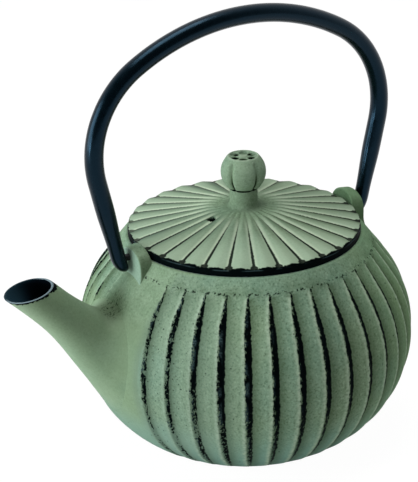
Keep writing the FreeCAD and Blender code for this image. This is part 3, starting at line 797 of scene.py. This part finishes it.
def brushed_steel(name, tint):
    """Stainless sheet with faint turned scratches."""
    material, tree, shader = new_material(name)
    place = add_node(tree, "TexCoord").outputs["Object"]
    stretched = add_node(tree, "Mapping", {"Vector": place, "Scale": (0.15, 0.15, 4)}).outputs[0]
    scratch = grain(tree, stretched, 0.6 * mm, 3.0)
    shader.inputs["Base Color"].default_value = tint
    shader.inputs["Metallic"].default_value = 1.0
    tree.links.new(rise(tree, scratch, 0.3, 0.7, 0.24, 0.42), shader.inputs["Roughness"])
    return material


steel = brushed_steel("infuser_steel", (0.62, 0.63, 0.62, 1))
for name, grid, node in (
    ("infuser_collar", flanged_collar(), "infuser_rim"),
    ("infuser_pan", pressed_base(), "infuser_base"),
):
    piece = make_piece(name, [grid])
    piece.data.materials.append(steel)
    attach(piece, "infuser")
    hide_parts(node)

sleeve = make_piece("infuser_sleeve", [sleeve_sheet()], keep=between_holes)
thicken = sleeve.modifiers.new("sheet", "SOLIDIFY")
thicken.thickness = 0.3 * mm
thicken.offset = 0.0
sleeve.data.materials.append(brushed_steel("infuser_net", (0.55, 0.56, 0.55, 1)))
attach(sleeve, "infuser")
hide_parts("infuser_mesh")


# Lid
# An iron disc with stepped flutes that fan out from a short stem. It is painted as the pot
# is, but its edge stays black.
lid_radius = 55.0 * mm
lid_edge_top = 107.1 * mm
lid_hub_radius = 17.4 * mm
lid_hub_height = 114.3 * mm
lid_stem_foot = 115.0 * mm
lid_stem_radius = 6.5 * mm
lid_stem_top = 123.8 * mm
lid_stem_fillet = 2.4 * mm
lid_edge_round = 1.2 * mm
lid_skirt_outer = 43.6 * mm
lid_skirt_inner = 40.8 * mm
lid_skirt_foot = 95.0 * mm
lid_under = 110.8 * mm
lid_land_radius = 9.0 * mm
screw_hole = 2.2 * mm
flute_count = 30
flute_first_angle = 147.3
flute_pitch = 360 / flute_count
flute_rise = 0.5
flute_depth = 0.95 * mm
flute_inner_depth = 0.55 * mm
flute_edge_depth = 0.5 * mm
flute_edge_start = 49.0 * mm
flute_inner_end = 8.5 * mm
vent_radius = 1.9 * mm
vent_place_radius = 20.0 * mm
vent_angle = 189.4


def flute_columns():
    """Angles of the lid's columns, close together at each valley."""
    share = np.linspace(-1, 1, 17)[:-1]
    share = 0.5 * np.sign(share) * np.abs(share) ** 1.5
    first = flute_first_angle + flute_pitch * np.arange(flute_count)
    return np.radians(first[:, None] + flute_pitch * share[None, :]).ravel()


def flute_recess(angles, radius):
    """Depth of the flutes: sharp valleys between rounded crests, deeper towards the lid's edge."""
    share = ((np.degrees(angles) - flute_first_angle) / flute_pitch) % 1
    rising = (1 - np.clip(share / flute_rise, 0, 1)) ** 1.35
    falling = np.clip((share - flute_rise) / (1 - flute_rise), 0, 1) ** 1.35
    out = np.clip((radius - flute_inner_end) / (lid_radius - flute_inner_end), 0, 1)
    depth = flute_inner_depth + (flute_depth - flute_inner_depth) * out
    depth = depth + flute_edge_depth * smooth_step(radius, flute_edge_start, lid_radius)
    return depth * smooth_step(radius, flute_inner_end, 13 * mm) * np.maximum(rising, falling)


def lid_surface():
    """The lid's top with its flutes, its edge, its underside with the skirt, and the screw hole."""
    angles = flute_columns()
    slope = (lid_hub_height - lid_edge_top) / (lid_radius - lid_hub_radius)
    edge_start = [lid_radius - lid_edge_round, lid_edge_top + slope * lid_edge_round]
    edge_end = [lid_radius, lid_edge_top - lid_edge_round]
    top = joined(
        straight([screw_hole, lid_stem_top], [lid_stem_radius - 0.4 * mm, lid_stem_top], 3),
        bend([lid_stem_radius - 0.4 * mm, lid_stem_top], [lid_stem_radius, lid_stem_top], [lid_stem_radius, lid_stem_top - 0.5 * mm], 4),
        straight([lid_stem_radius, lid_stem_top - 0.5 * mm], [lid_stem_radius + 0.15 * mm, lid_stem_foot + lid_stem_fillet], 6),
        bend([lid_stem_radius + 0.15 * mm, lid_stem_foot + lid_stem_fillet], [lid_stem_radius + 0.15 * mm, lid_stem_foot], [lid_stem_radius + lid_stem_fillet, lid_stem_foot - 0.05 * mm], 7),
        straight([lid_stem_radius + lid_stem_fillet, lid_stem_foot - 0.05 * mm], [lid_hub_radius, lid_hub_height], 10),
        straight([lid_hub_radius, lid_hub_height], edge_start, 56),
        bend(edge_start, [lid_radius, lid_edge_top], edge_end, 6),
        straight(edge_end, [lid_radius, rim_height + 0.3 * mm], 6),
    )
    radius, height = top[:, :1], top[:, 1:]
    recess = flute_recess(angles[None, :], radius)
    on_edge = smooth_step(height, rim_height + 0.6 * mm, lid_edge_top - 0.4 * mm)
    outward = smooth_step(radius, lid_radius - lid_edge_round, lid_radius)
    sunk = height - recess * (1 - outward * 0.6) * on_edge
    drawn_in = radius - recess * outward * 0.15 * on_edge
    vent = np.radians(vent_angle)
    x, y = drawn_in * np.cos(angles), drawn_in * np.sin(angles)
    away = np.hypot(x - vent_place_radius * np.cos(vent), y - vent_place_radius * np.sin(vent))
    sunk = sunk - 3.4 * mm * smooth_step(-away, -vent_radius - 0.3 * mm, -vent_radius + 0.3 * mm)
    skin = np.stack([x, y, sunk], -1)
    under_hub = lid_under - (lid_stem_foot - lid_hub_height)
    under_edge = under_hub - slope * (lid_skirt_inner - lid_hub_radius)
    under = joined(
        straight([lid_radius, rim_height + 0.3 * mm], [lid_radius - 0.4 * mm, rim_height], 3),
        straight([lid_radius - 0.4 * mm, rim_height], [lid_skirt_outer, rim_height], 4),
        straight([lid_skirt_outer, rim_height], [lid_skirt_outer, lid_skirt_foot + 0.5 * mm], 3),
        bend([lid_skirt_outer, lid_skirt_foot + 0.5 * mm], [lid_skirt_outer, lid_skirt_foot], [lid_skirt_outer - 0.5 * mm, lid_skirt_foot], 4),
        straight([lid_skirt_outer - 0.5 * mm, lid_skirt_foot], [lid_skirt_inner + 0.5 * mm, lid_skirt_foot], 3),
        bend([lid_skirt_inner + 0.5 * mm, lid_skirt_foot], [lid_skirt_inner, lid_skirt_foot], [lid_skirt_inner, lid_skirt_foot + 0.5 * mm], 4),
        straight([lid_skirt_inner, lid_skirt_foot + 0.5 * mm], [lid_skirt_inner, under_edge], 4),
        straight([lid_skirt_inner, under_edge], [lid_hub_radius, under_hub], 6),
        straight([lid_hub_radius, under_hub], [lid_land_radius, lid_under], 3),
        straight([lid_land_radius, lid_under], [screw_hole, lid_under], 3),
        straight([screw_hole, lid_under], [screw_hole, lid_stem_top], 3),
    )
    return np.concatenate([skin, turned(under, angles)[1:]])[::-1]


lid = make_piece("lid_casting", [lid_surface()])
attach(lid, "lid")
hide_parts("lid")


def lid_iron():
    """Sage paint, with dark lines in the valleys between the flutes, painted shade and highlights on the flutes, a
    painted glint and a black edge.
    """
    material, tree, shader = new_material("lid_iron")
    place = add_node(tree, "TexCoord").outputs["Object"]
    x, y, z = add_node(tree, "SeparateXYZ", {0: place}).outputs[:3]
    flat = add_node(tree, "CombineXYZ", {0: x, 1: y}).outputs[0]
    radius = add_node(tree, "VectorMath", {0: flat}, operation="LENGTH").outputs["Value"]
    turn = product(tree, sum_up(tree, "ARCTAN2", y, x), 180 / np.pi)
    turn = sum_up(tree, "ADD", turn, 720 - flute_first_angle + flute_pitch / 2)
    past = sum_up(tree, "SUBTRACT", sum_up(tree, "MODULO", turn, flute_pitch), flute_pitch / 2)
    beside = product(tree, past, radius, np.pi / 180)
    back = rise(tree, y, -12 * mm, 25 * mm)
    spout_side = add_node(tree, "VectorMath", {0: place, 1: (-0.866, 0.5, 0)}, operation="DOT_PRODUCT")
    left_half = rise(tree, spout_side.outputs["Value"], -16 * mm, 16 * mm)

    # Dark lines in the valleys, wider at the edge and faint at the back
    half = rise(tree, radius, 16 * mm, lid_radius, 0.16 * mm, 0.70 * mm)
    half = product(tree, half, sum_up(tree, "SUBTRACT", 1.0, product(tree, back, 0.25)))
    half = sum_up(tree, "ADD", half, rise(tree, radius, lid_radius - 3.2 * mm, lid_radius - 1.6 * mm, 0.0, 1.0 * mm))
    torn = spread(tree, grain(tree, place, 0.8 * mm, 3.0, 0.65), 0.9 * mm)
    off = sum_up(tree, "ADD", sum_up(tree, "ABSOLUTE", beside), torn)
    line = rise(tree, sum_up(tree, "SUBTRACT", off, half), 0.22 * mm, -0.16 * mm)
    line = product(
        tree,
        line,
        rise(tree, radius, 13 * mm, 30 * mm, 0.0, 0.95),
        rise(tree, back, 0.0, 1.0, 1.0, 0.85),
    )

    # Paint: painted shade on one side of each line, painted highlights on the crests, paler towards the edge
    paint = sage_paint(tree, place)
    paint = mix_colours(tree, rise(tree, radius, 14 * mm, 50 * mm, 0.1, 0.7), paint, sage_pale)
    beyond = sum_up(tree, "MODULO", sum_up(tree, "ADD", past, flute_pitch), flute_pitch)
    after = product(tree, rise(tree, beyond, flute_pitch * 0.92, 0.0, 0.0, 0.9), left_half)
    before = rise(tree, beyond, flute_pitch * 0.08, flute_pitch, 0.0, 0.75)
    before = product(tree, before, sum_up(tree, "SUBTRACT", 1.0, left_half))
    front = add_node(tree, "VectorMath", {0: place, 1: (-0.5, -0.866, 0)}, operation="DOT_PRODUCT")
    front = rise(tree, front.outputs["Value"], 12 * mm, 40 * mm)
    # Painted shade: after each line on the left half and before it on the right, weaker at the front.
    flute_shade = product(tree, sum_up(tree, "ADD", after, before), rise(tree, radius, 11 * mm, 20 * mm))
    flute_shade = product(tree, flute_shade, sum_up(tree, "SUBTRACT", 1.0, product(tree, front, 0.75)))
    paint = mix_colours(tree, flute_shade, paint, mix_colours(tree, left_half, olive_shade, (0.085, 0.140, 0.100, 1)))
    # Painted highlights on the crest beside each line.
    crest = product(tree, rise(tree, beside, -2.0 * mm, -0.6 * mm), sum_up(tree, "LESS_THAN", beside, 0.0))
    crest_right = product(tree, rise(tree, beside, 2.4 * mm, 0.6 * mm), sum_up(tree, "GREATER_THAN", beside, 0.0))
    crest_right = product(tree, crest_right, sum_up(tree, "SUBTRACT", 0.8, product(tree, left_half, 0.8)))
    crest = sum_up(tree, "MAXIMUM", product(tree, crest, left_half), crest_right)
    crest = product(tree, crest, rise(tree, radius, 12 * mm, 24 * mm), 0.85)
    paint = mix_colours(tree, crest, paint, (0.60, 0.73, 0.56, 1))

    # Black edge, underside, vent and stem end
    torn_height = sum_up(tree, "ADD", z, spread(tree, grain(tree, place, 1.3 * mm, 3.0, 0.65), 1.6 * mm))
    below = rise(tree, torn_height, lid_edge_top - 1.6 * mm, lid_edge_top - 2.0 * mm)
    edge_torn = spread(tree, grain(tree, place, 1.3 * mm, 3.0, 0.65), 1.4 * mm)
    edge = rise(tree, sum_up(tree, "ADD", radius, edge_torn), lid_radius - 0.6 * mm, lid_radius - 0.35 * mm)
    below = sum_up(tree, "MAXIMUM", below, edge)
    # Painted glint: a broken grey line along the rounded black edge.
    off_edge = sum_up(tree, "ABSOLUTE", sum_up(tree, "SUBTRACT", z, lid_edge_top - 1.5 * mm))
    edge_glint = product(
        tree,
        rise(tree, off_edge, 0.4 * mm, 0.1 * mm),
        rise(tree, grain(tree, place, 9 * mm, 3.0), 0.45, 0.6, 0.0, 0.5),
        sum_up(tree, "GREATER_THAN", radius, lid_radius - 1.5 * mm),
    )
    vent = np.radians(vent_angle)
    vent_middle = (vent_place_radius * np.cos(vent), vent_place_radius * np.sin(vent), 0)
    away = add_node(tree, "VectorMath", {0: flat, 1: vent_middle}, operation="DISTANCE").outputs["Value"]
    hole = rise(tree, away, vent_radius + 0.35 * mm, vent_radius)
    inner = sum_up(tree, "LESS_THAN", radius, lid_stem_radius - 0.3 * mm)
    bare = sum_up(tree, "MAXIMUM", below, sum_up(tree, "MAXIMUM", hole, inner))
    black = sum_up(tree, "MAXIMUM", line, bare)
    colour = mix_colours(tree, black, paint, mix_colours(tree, edge_glint, iron_black, wear_and_glint_grey))
    tree.links.new(colour, shader.inputs["Base Color"])
    tree.links.new(rise(tree, bare, 0.0, 1.0, 0.55, 0.45), shader.inputs["Roughness"])
    shader.inputs["Specular IOR Level"].default_value = paint_gloss
    cast_bump(tree, place, shader)
    return material


lid.data.materials.append(lid_iron())


# Knob
# A small iron ball with five lobes and a rosette of six pockets on top, held on the stem by
# a screw and a washer from below.
knob_radius = 10.6 * mm
knob_centre = 132.0 * mm
knob_top_radius = 7.3 * mm
knob_foot_radius = 6.1 * mm
knob_foot_gap = 0.05 * mm
knob_lobe_count = 5
knob_first_groove = 205.0
knob_groove_depth = 1.15 * mm
knob_groove_turn = 6.5
knob_dark_turn = 4.0
knob_ring = 0.6 * mm
knob_dish = 0.45 * mm
pocket_count = 6
pocket_first_angle = 240.0
pocket_place = 4.5 * mm
pocket_radius = 1.95 * mm
pocket_depth = 0.9 * mm


def knob_surface():
    """The ball, drawn in along five grooves, with round pockets in its top.

    The second result is how dark each point is: 1 at the painted shadow in the pockets and at the dark joint
    with the stem, painted shade deep in the grooves, and 0 on the lobes.
    """
    angles = np.linspace(0, 2 * np.pi, 300, endpoint=False)
    foot_turn = -np.degrees(np.arccos(knob_foot_radius / knob_radius))
    top_turn = np.degrees(np.arccos(knob_top_radius / knob_radius))
    side = arc([0, knob_centre], knob_radius, foot_turn, top_turn, 44)
    top_height = side[-1, 1] + 0.1 * mm
    foot = lid_stem_top + knob_foot_gap
    foot_inner = knob_foot_radius - 0.6 * mm
    ring_inner = knob_top_radius - knob_ring
    profile = joined(
        straight([0, foot], [foot_inner, foot], 3),
        bend([foot_inner, foot], [knob_foot_radius, foot], side[0], 4),
        side,
        bend(side[-1], [knob_top_radius - 0.25 * mm, top_height + 0.1 * mm], [ring_inner, top_height], 5),
        straight([ring_inner, top_height], [0, top_height], 40),
    )
    plain_radius, height = profile[:, :1], profile[:, 1:]
    pitch = 360 / knob_lobe_count
    turn = (np.degrees(angles) - knob_first_groove + pitch / 2) % pitch - pitch / 2
    lean = smooth_step(height, knob_centre - 10 * mm, knob_centre - 6 * mm)
    lean = lean * smooth_step(-height, 0.6 * mm - top_height, 3.4 * mm - top_height)
    radius = plain_radius - knob_groove_depth * np.exp(-((turn / knob_groove_turn) ** 2)) * lean
    low = smooth_step(-height, -knob_centre - 4 * mm, -knob_centre + 6 * mm)
    # Painted shade deep in the grooves, darker low on the ball.
    dark = np.exp(-((turn / knob_dark_turn) ** 2)) * lean * (0.35 + 0.5 * low)
    dark = np.maximum(dark, smooth_step(-height, -foot - 1.5 * mm, -foot - 0.7 * mm))
    on_top = (height > top_height - 0.01 * mm) * smooth_step(-plain_radius, -ring_inner, 0.3 * mm - ring_inner)
    fold = np.radians(360 / pocket_count)
    within = (angles - np.radians(pocket_first_angle) + fold / 2) % fold - fold / 2
    off_middle = plain_radius * np.cos(within) - pocket_place
    away = np.hypot(off_middle, plain_radius * np.sin(within))
    pocket = smooth_step(-away, -pocket_radius - 0.15 * mm, 0.3 * mm - pocket_radius)
    hub = smooth_step(-plain_radius, -2.2 * mm, -1.2 * mm)
    height = height - on_top * (knob_dish * (1 - hub) + pocket_depth * pocket)
    # Painted shadow in the pockets, lighter on their outer floor.
    dark = np.maximum(dark, pocket * on_top * (1 - 0.65 * smooth_step(off_middle, 0.0, 1.3 * mm)))
    surface = np.stack([radius * np.cos(angles), radius * np.sin(angles), height + 0 * angles], -1)
    return surface, dark + 0 * angles


knob_grid, knob_dark = knob_surface()
knob = make_piece("knob_ball", [knob_grid], [knob_dark], sharp=50)
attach(knob, "lid")
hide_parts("knob")


def knob_iron():
    """Sage paint, with painted shade in the grooves and pockets, a dark joint at the foot and a paler top, painted as
    lit from above.
    """
    material, tree, shader = new_material("knob_iron")
    place = add_node(tree, "TexCoord").outputs["Object"]
    dark = add_node(tree, "Attribute", attribute_name="region").outputs["Fac"]
    dark = sum_up(tree, "ADD", dark, spread(tree, grain(tree, place, 1.0 * mm, 2.0), 0.4))
    paint = sage_paint(tree, place)
    height = add_node(tree, "SeparateXYZ", {0: place}).outputs[2]
    # Painted light: the top is paler, as lit from above.
    on_top = rise(tree, height, knob_centre + 7.0 * mm, knob_centre + 8.0 * mm, 0.2, 0.7)
    paint = mix_colours(tree, on_top, paint, sage_pale)
    paint = mix_colours(tree, rise(tree, dark, 0.2, 0.6), paint, olive_shade)
    paint = mix_colours(tree, rise(tree, dark, 0.45, 0.85), paint, iron_black)
    tree.links.new(paint, shader.inputs["Base Color"])
    shader.inputs["Roughness"].default_value = 0.55
    shader.inputs["Specular IOR Level"].default_value = paint_gloss
    cast_bump(tree, place, shader)
    return material


knob.data.materials.append(knob_iron())

screw_steel = brushed_steel("screw_steel", (0.58, 0.58, 0.56, 1))
for node in ("knob_washer", "knob_screw"):
    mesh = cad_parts[node].data
    mesh.materials.clear()
    mesh.materials.append(screw_steel)


# Handle
# A bent iron bar, enamelled black, whose legs hang on pins outside the ears. Each leg ends in
# a tip that is straight on the ear's side and rounded on the other.
handle_tip = np.array([65.5, 96.4]) * mm
handle_bend_centre = np.array([31.0, 152.4]) * mm
handle_bend_radius = 46.0 * mm
handle_crown_centre = np.array([0.0, 100.0]) * mm
handle_bar = 4.3 * mm
handle_leg = 3.5 * mm
handle_full_above = 130.0 * mm
handle_thin_below = 108.0 * mm
tip_outer_length = 9.0 * mm
tip_inner_length = 2.0 * mm
tip_side_length = 3.5 * mm
tip_offset = 0.5


def handle_line(count):
    """Middle line of the bar: a leg, a bend, the crown, a bend and a leg, and its distance to the nearer end."""
    reach = handle_tip - handle_bend_centre
    turn_off = np.degrees(np.arccos(handle_bend_radius / np.linalg.norm(reach)))
    leg_turn = np.degrees(np.arctan2(reach[1], reach[0])) + turn_off
    out = handle_bend_centre - handle_crown_centre
    bend_turn = np.degrees(np.arctan2(out[1], out[0]))
    bend_part = arc(handle_bend_centre, handle_bend_radius, leg_turn, bend_turn, 200)
    leg = straight(handle_tip, bend_part[0], 120)
    crown_radius = np.linalg.norm(out) + handle_bend_radius
    crown = arc(handle_crown_centre, crown_radius, bend_turn, 90, 200)
    half = joined(leg, bend_part, crown)
    whole = np.concatenate([half, half[::-1][1:] * [-1, 1]])
    far = np.concatenate([[0], np.cumsum(np.linalg.norm(np.diff(whole, axis=0), axis=1))])
    tip = np.linspace(0, 1, 40)[:-1] ** 2 * tip_outer_length
    between = np.linspace(tip_outer_length, far[-1] - tip_outer_length, count)
    even = np.concatenate([tip, between, far[-1] - tip[::-1]])
    line = np.stack([np.interp(even, far, whole[:, 0]), np.interp(even, far, whole[:, 1])], -1)
    return line, np.minimum(even, far[-1] - even)


def rounded(distance, length):
    """A quarter round that grows from 0 at the end to 1 at a length from it."""
    return np.sqrt(1 - (1 - np.clip(distance / length, 0, 1)) ** 2)


def handle_surface():
    """The bar: ovals square to its middle line, thinner down the legs and drawn in at the tips."""
    line, distance = handle_line(240)
    along = np.gradient(line, axis=0)
    along = along / np.linalg.norm(along, axis=1, keepdims=True)
    outward = np.stack([along[:, 1], -along[:, 0]], -1)
    size = handle_leg + (handle_bar - handle_leg) * smooth_step(line[:, 1], handle_thin_below, handle_full_above)
    outer = size * ((1 + tip_offset) * rounded(distance, tip_outer_length) - tip_offset)
    inner = size * ((1 - tip_offset) * rounded(distance, tip_inner_length) + tip_offset)
    side = size * rounded(distance, tip_side_length)
    around = np.linspace(0, 2 * np.pi, 40, endpoint=False)
    across = ((outer - inner) / 2)[:, None] + ((outer + inner) / 2)[:, None] * np.cos(around)
    x = line[:, :1] + outward[:, :1] * across
    z = line[:, 1:] + outward[:, 1:] * across
    return np.stack([x, side[:, None] * np.sin(around), z], -1)


handle = make_piece("handle_bar", [handle_surface()])
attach(handle, "handle")
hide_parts("handle")


def black_enamel():
    """Black enamel with a satin gloss and a slight ripple."""
    material, tree, shader = new_material("handle_enamel")
    place = add_node(tree, "TexCoord").outputs["Object"]
    shader.inputs["Base Color"].default_value = (0.0004, 0.0020, 0.0030, 1)
    shader.inputs["Specular IOR Level"].default_value = 0.30
    shader.inputs["Specular Tint"].default_value = (0.25, 0.62, 1.0, 1)
    rough = rise(tree, grain(tree, place, 4 * mm, 3.0), 0.3, 0.7, 0.20, 0.28)
    tree.links.new(rough, shader.inputs["Roughness"])
    wave = grain(tree, place, 2.5 * mm, 2.0)
    ripple = add_node(tree, "Bump", {"Strength": 0.25, "Distance": 0.15 * mm, "Height": wave})
    tree.links.new(ripple.outputs[0], shader.inputs["Normal"])
    return material


handle.data.materials.append(black_enamel())

pin_steel, pin_tree, pin_shader = new_material("pin_steel")
pin_shader.inputs["Base Color"].default_value = (0.012, 0.014, 0.015, 1)
pin_shader.inputs["Metallic"].default_value = 0.6
pin_shader.inputs["Roughness"].default_value = 0.5
for node in ("handle_pin_front", "handle_pin_rear"):
    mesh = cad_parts[node].data
    mesh.materials.clear()
    mesh.materials.append(pin_steel)


# Stage
# A white table and white surroundings.
floor_size = 3.0
floor_mesh = bpy.data.meshes.new("floor")
corner = floor_size / 2
floor_mesh.from_pydata([(-corner, -corner, 0), (corner, -corner, 0), (corner, corner, 0), (-corner, corner, 0)], [], [(0, 1, 2, 3)])
floor = bpy.data.objects.new("floor", floor_mesh)
bpy.context.scene.collection.objects.link(floor)


def seen_directly(tree):
    """1 for rays from the camera, a mirror-like surface or glass."""
    path = add_node(tree, "LightPath").outputs
    mirror = sum_up(tree, "MAXIMUM", path["Is Glossy Ray"], path["Is Transmission Ray"])
    return sum_up(tree, "MAXIMUM", path["Is Camera Ray"], mirror)


floor_material, tree, shader = new_material("white_table")
shader.inputs["Base Color"].default_value = (0.8, 0.8, 0.8, 1)
shader.inputs["Roughness"].default_value = 0.9
glow = add_node(tree, "Emission", {"Color": (1, 1, 1, 1), "Strength": 1.06})
share = sum_up(tree, "MULTIPLY", seen_directly(tree), 0.92)
mixed = add_node(tree, "MixShader", {0: share, 1: shader.outputs[0], 2: glow.outputs[0]})
tree.links.new(mixed.outputs[0], tree.nodes["Material Output"].inputs["Surface"])
floor_mesh.materials.append(floor_material)

world = bpy.data.worlds.new("surroundings")
bpy.context.scene.world = world
world.use_nodes = True
tree = world.node_tree
background = tree.nodes["Background"]
sky_colour = mix_colours(tree, seen_directly(tree), (1, 1, 0.95, 1), (1, 1, 1, 1))
tree.links.new(sky_colour, background.inputs["Color"])
direction = add_node(tree, "TexCoord").outputs["Generated"]
toward = add_node(tree, "VectorMath", {0: direction, 1: (-0.46, -0.80, 0.38)}, operation="DOT_PRODUCT").outputs["Value"]
near_level = rise(tree, toward, 0.0, 0.7, 1.0, 0.10)
mirror_level = add_node(tree, "Mix", {0: add_node(tree, "LightPath").outputs["Is Glossy Ray"], 2: 1.0, 3: near_level})
light_level = add_node(tree, "MapRange", {"Value": seen_directly(tree), "To Min": 0.22, "To Max": mirror_level.outputs[0]})
tree.links.new(light_level.outputs[0], background.inputs["Strength"])


def lamp(name, place, aim, size, power, colour):
    """A square soft lamp at a place, turned to an aim."""
    data = bpy.data.lights.new(name, "AREA")
    data.size = size
    data.energy = power
    data.color = colour
    made = bpy.data.objects.new(name, data)
    made.location = place
    direction = Vector(aim) - Vector(place)
    made.rotation_euler = direction.to_track_quat("-Z", "Y").to_euler()
    bpy.context.scene.collection.objects.link(made)


lamp("soft_left", (-1.02, 0.22, 0.32), (0, 0, 0.08), 0.7, 8.4, (0.95, 1.0, 1.0))
lamp("low_left", (-0.99, -0.12, 0.07), (-0.06, 0, 0.06), 0.10, 1.4, (0.97, 1.0, 1.0))
lamp("soft_top", (-0.05, 0.00, 1.20), (0, 0, 0.08), 0.6, 6.8, (1.0, 0.99, 0.95))

camera_data = bpy.data.cameras.new("camera")
camera_data.sensor_width = 36.0
camera_data.lens = 130.74
camera = bpy.data.objects.new("camera", camera_data)
camera.location = (-0.3951, -0.6509, 0.4282)
turned_to = Matrix.Rotation(np.radians(-30.0), 4, "Z") @ Matrix.Rotation(np.radians(90 - 23.53), 4, "X")
turned_to = turned_to @ Matrix.Rotation(np.radians(-1.25), 4, "Z")
camera.rotation_euler = turned_to.to_euler()
bpy.context.scene.collection.objects.link(camera)
bpy.context.scene.camera = camera
bpy.context.scene.view_settings.view_transform = "Standard"
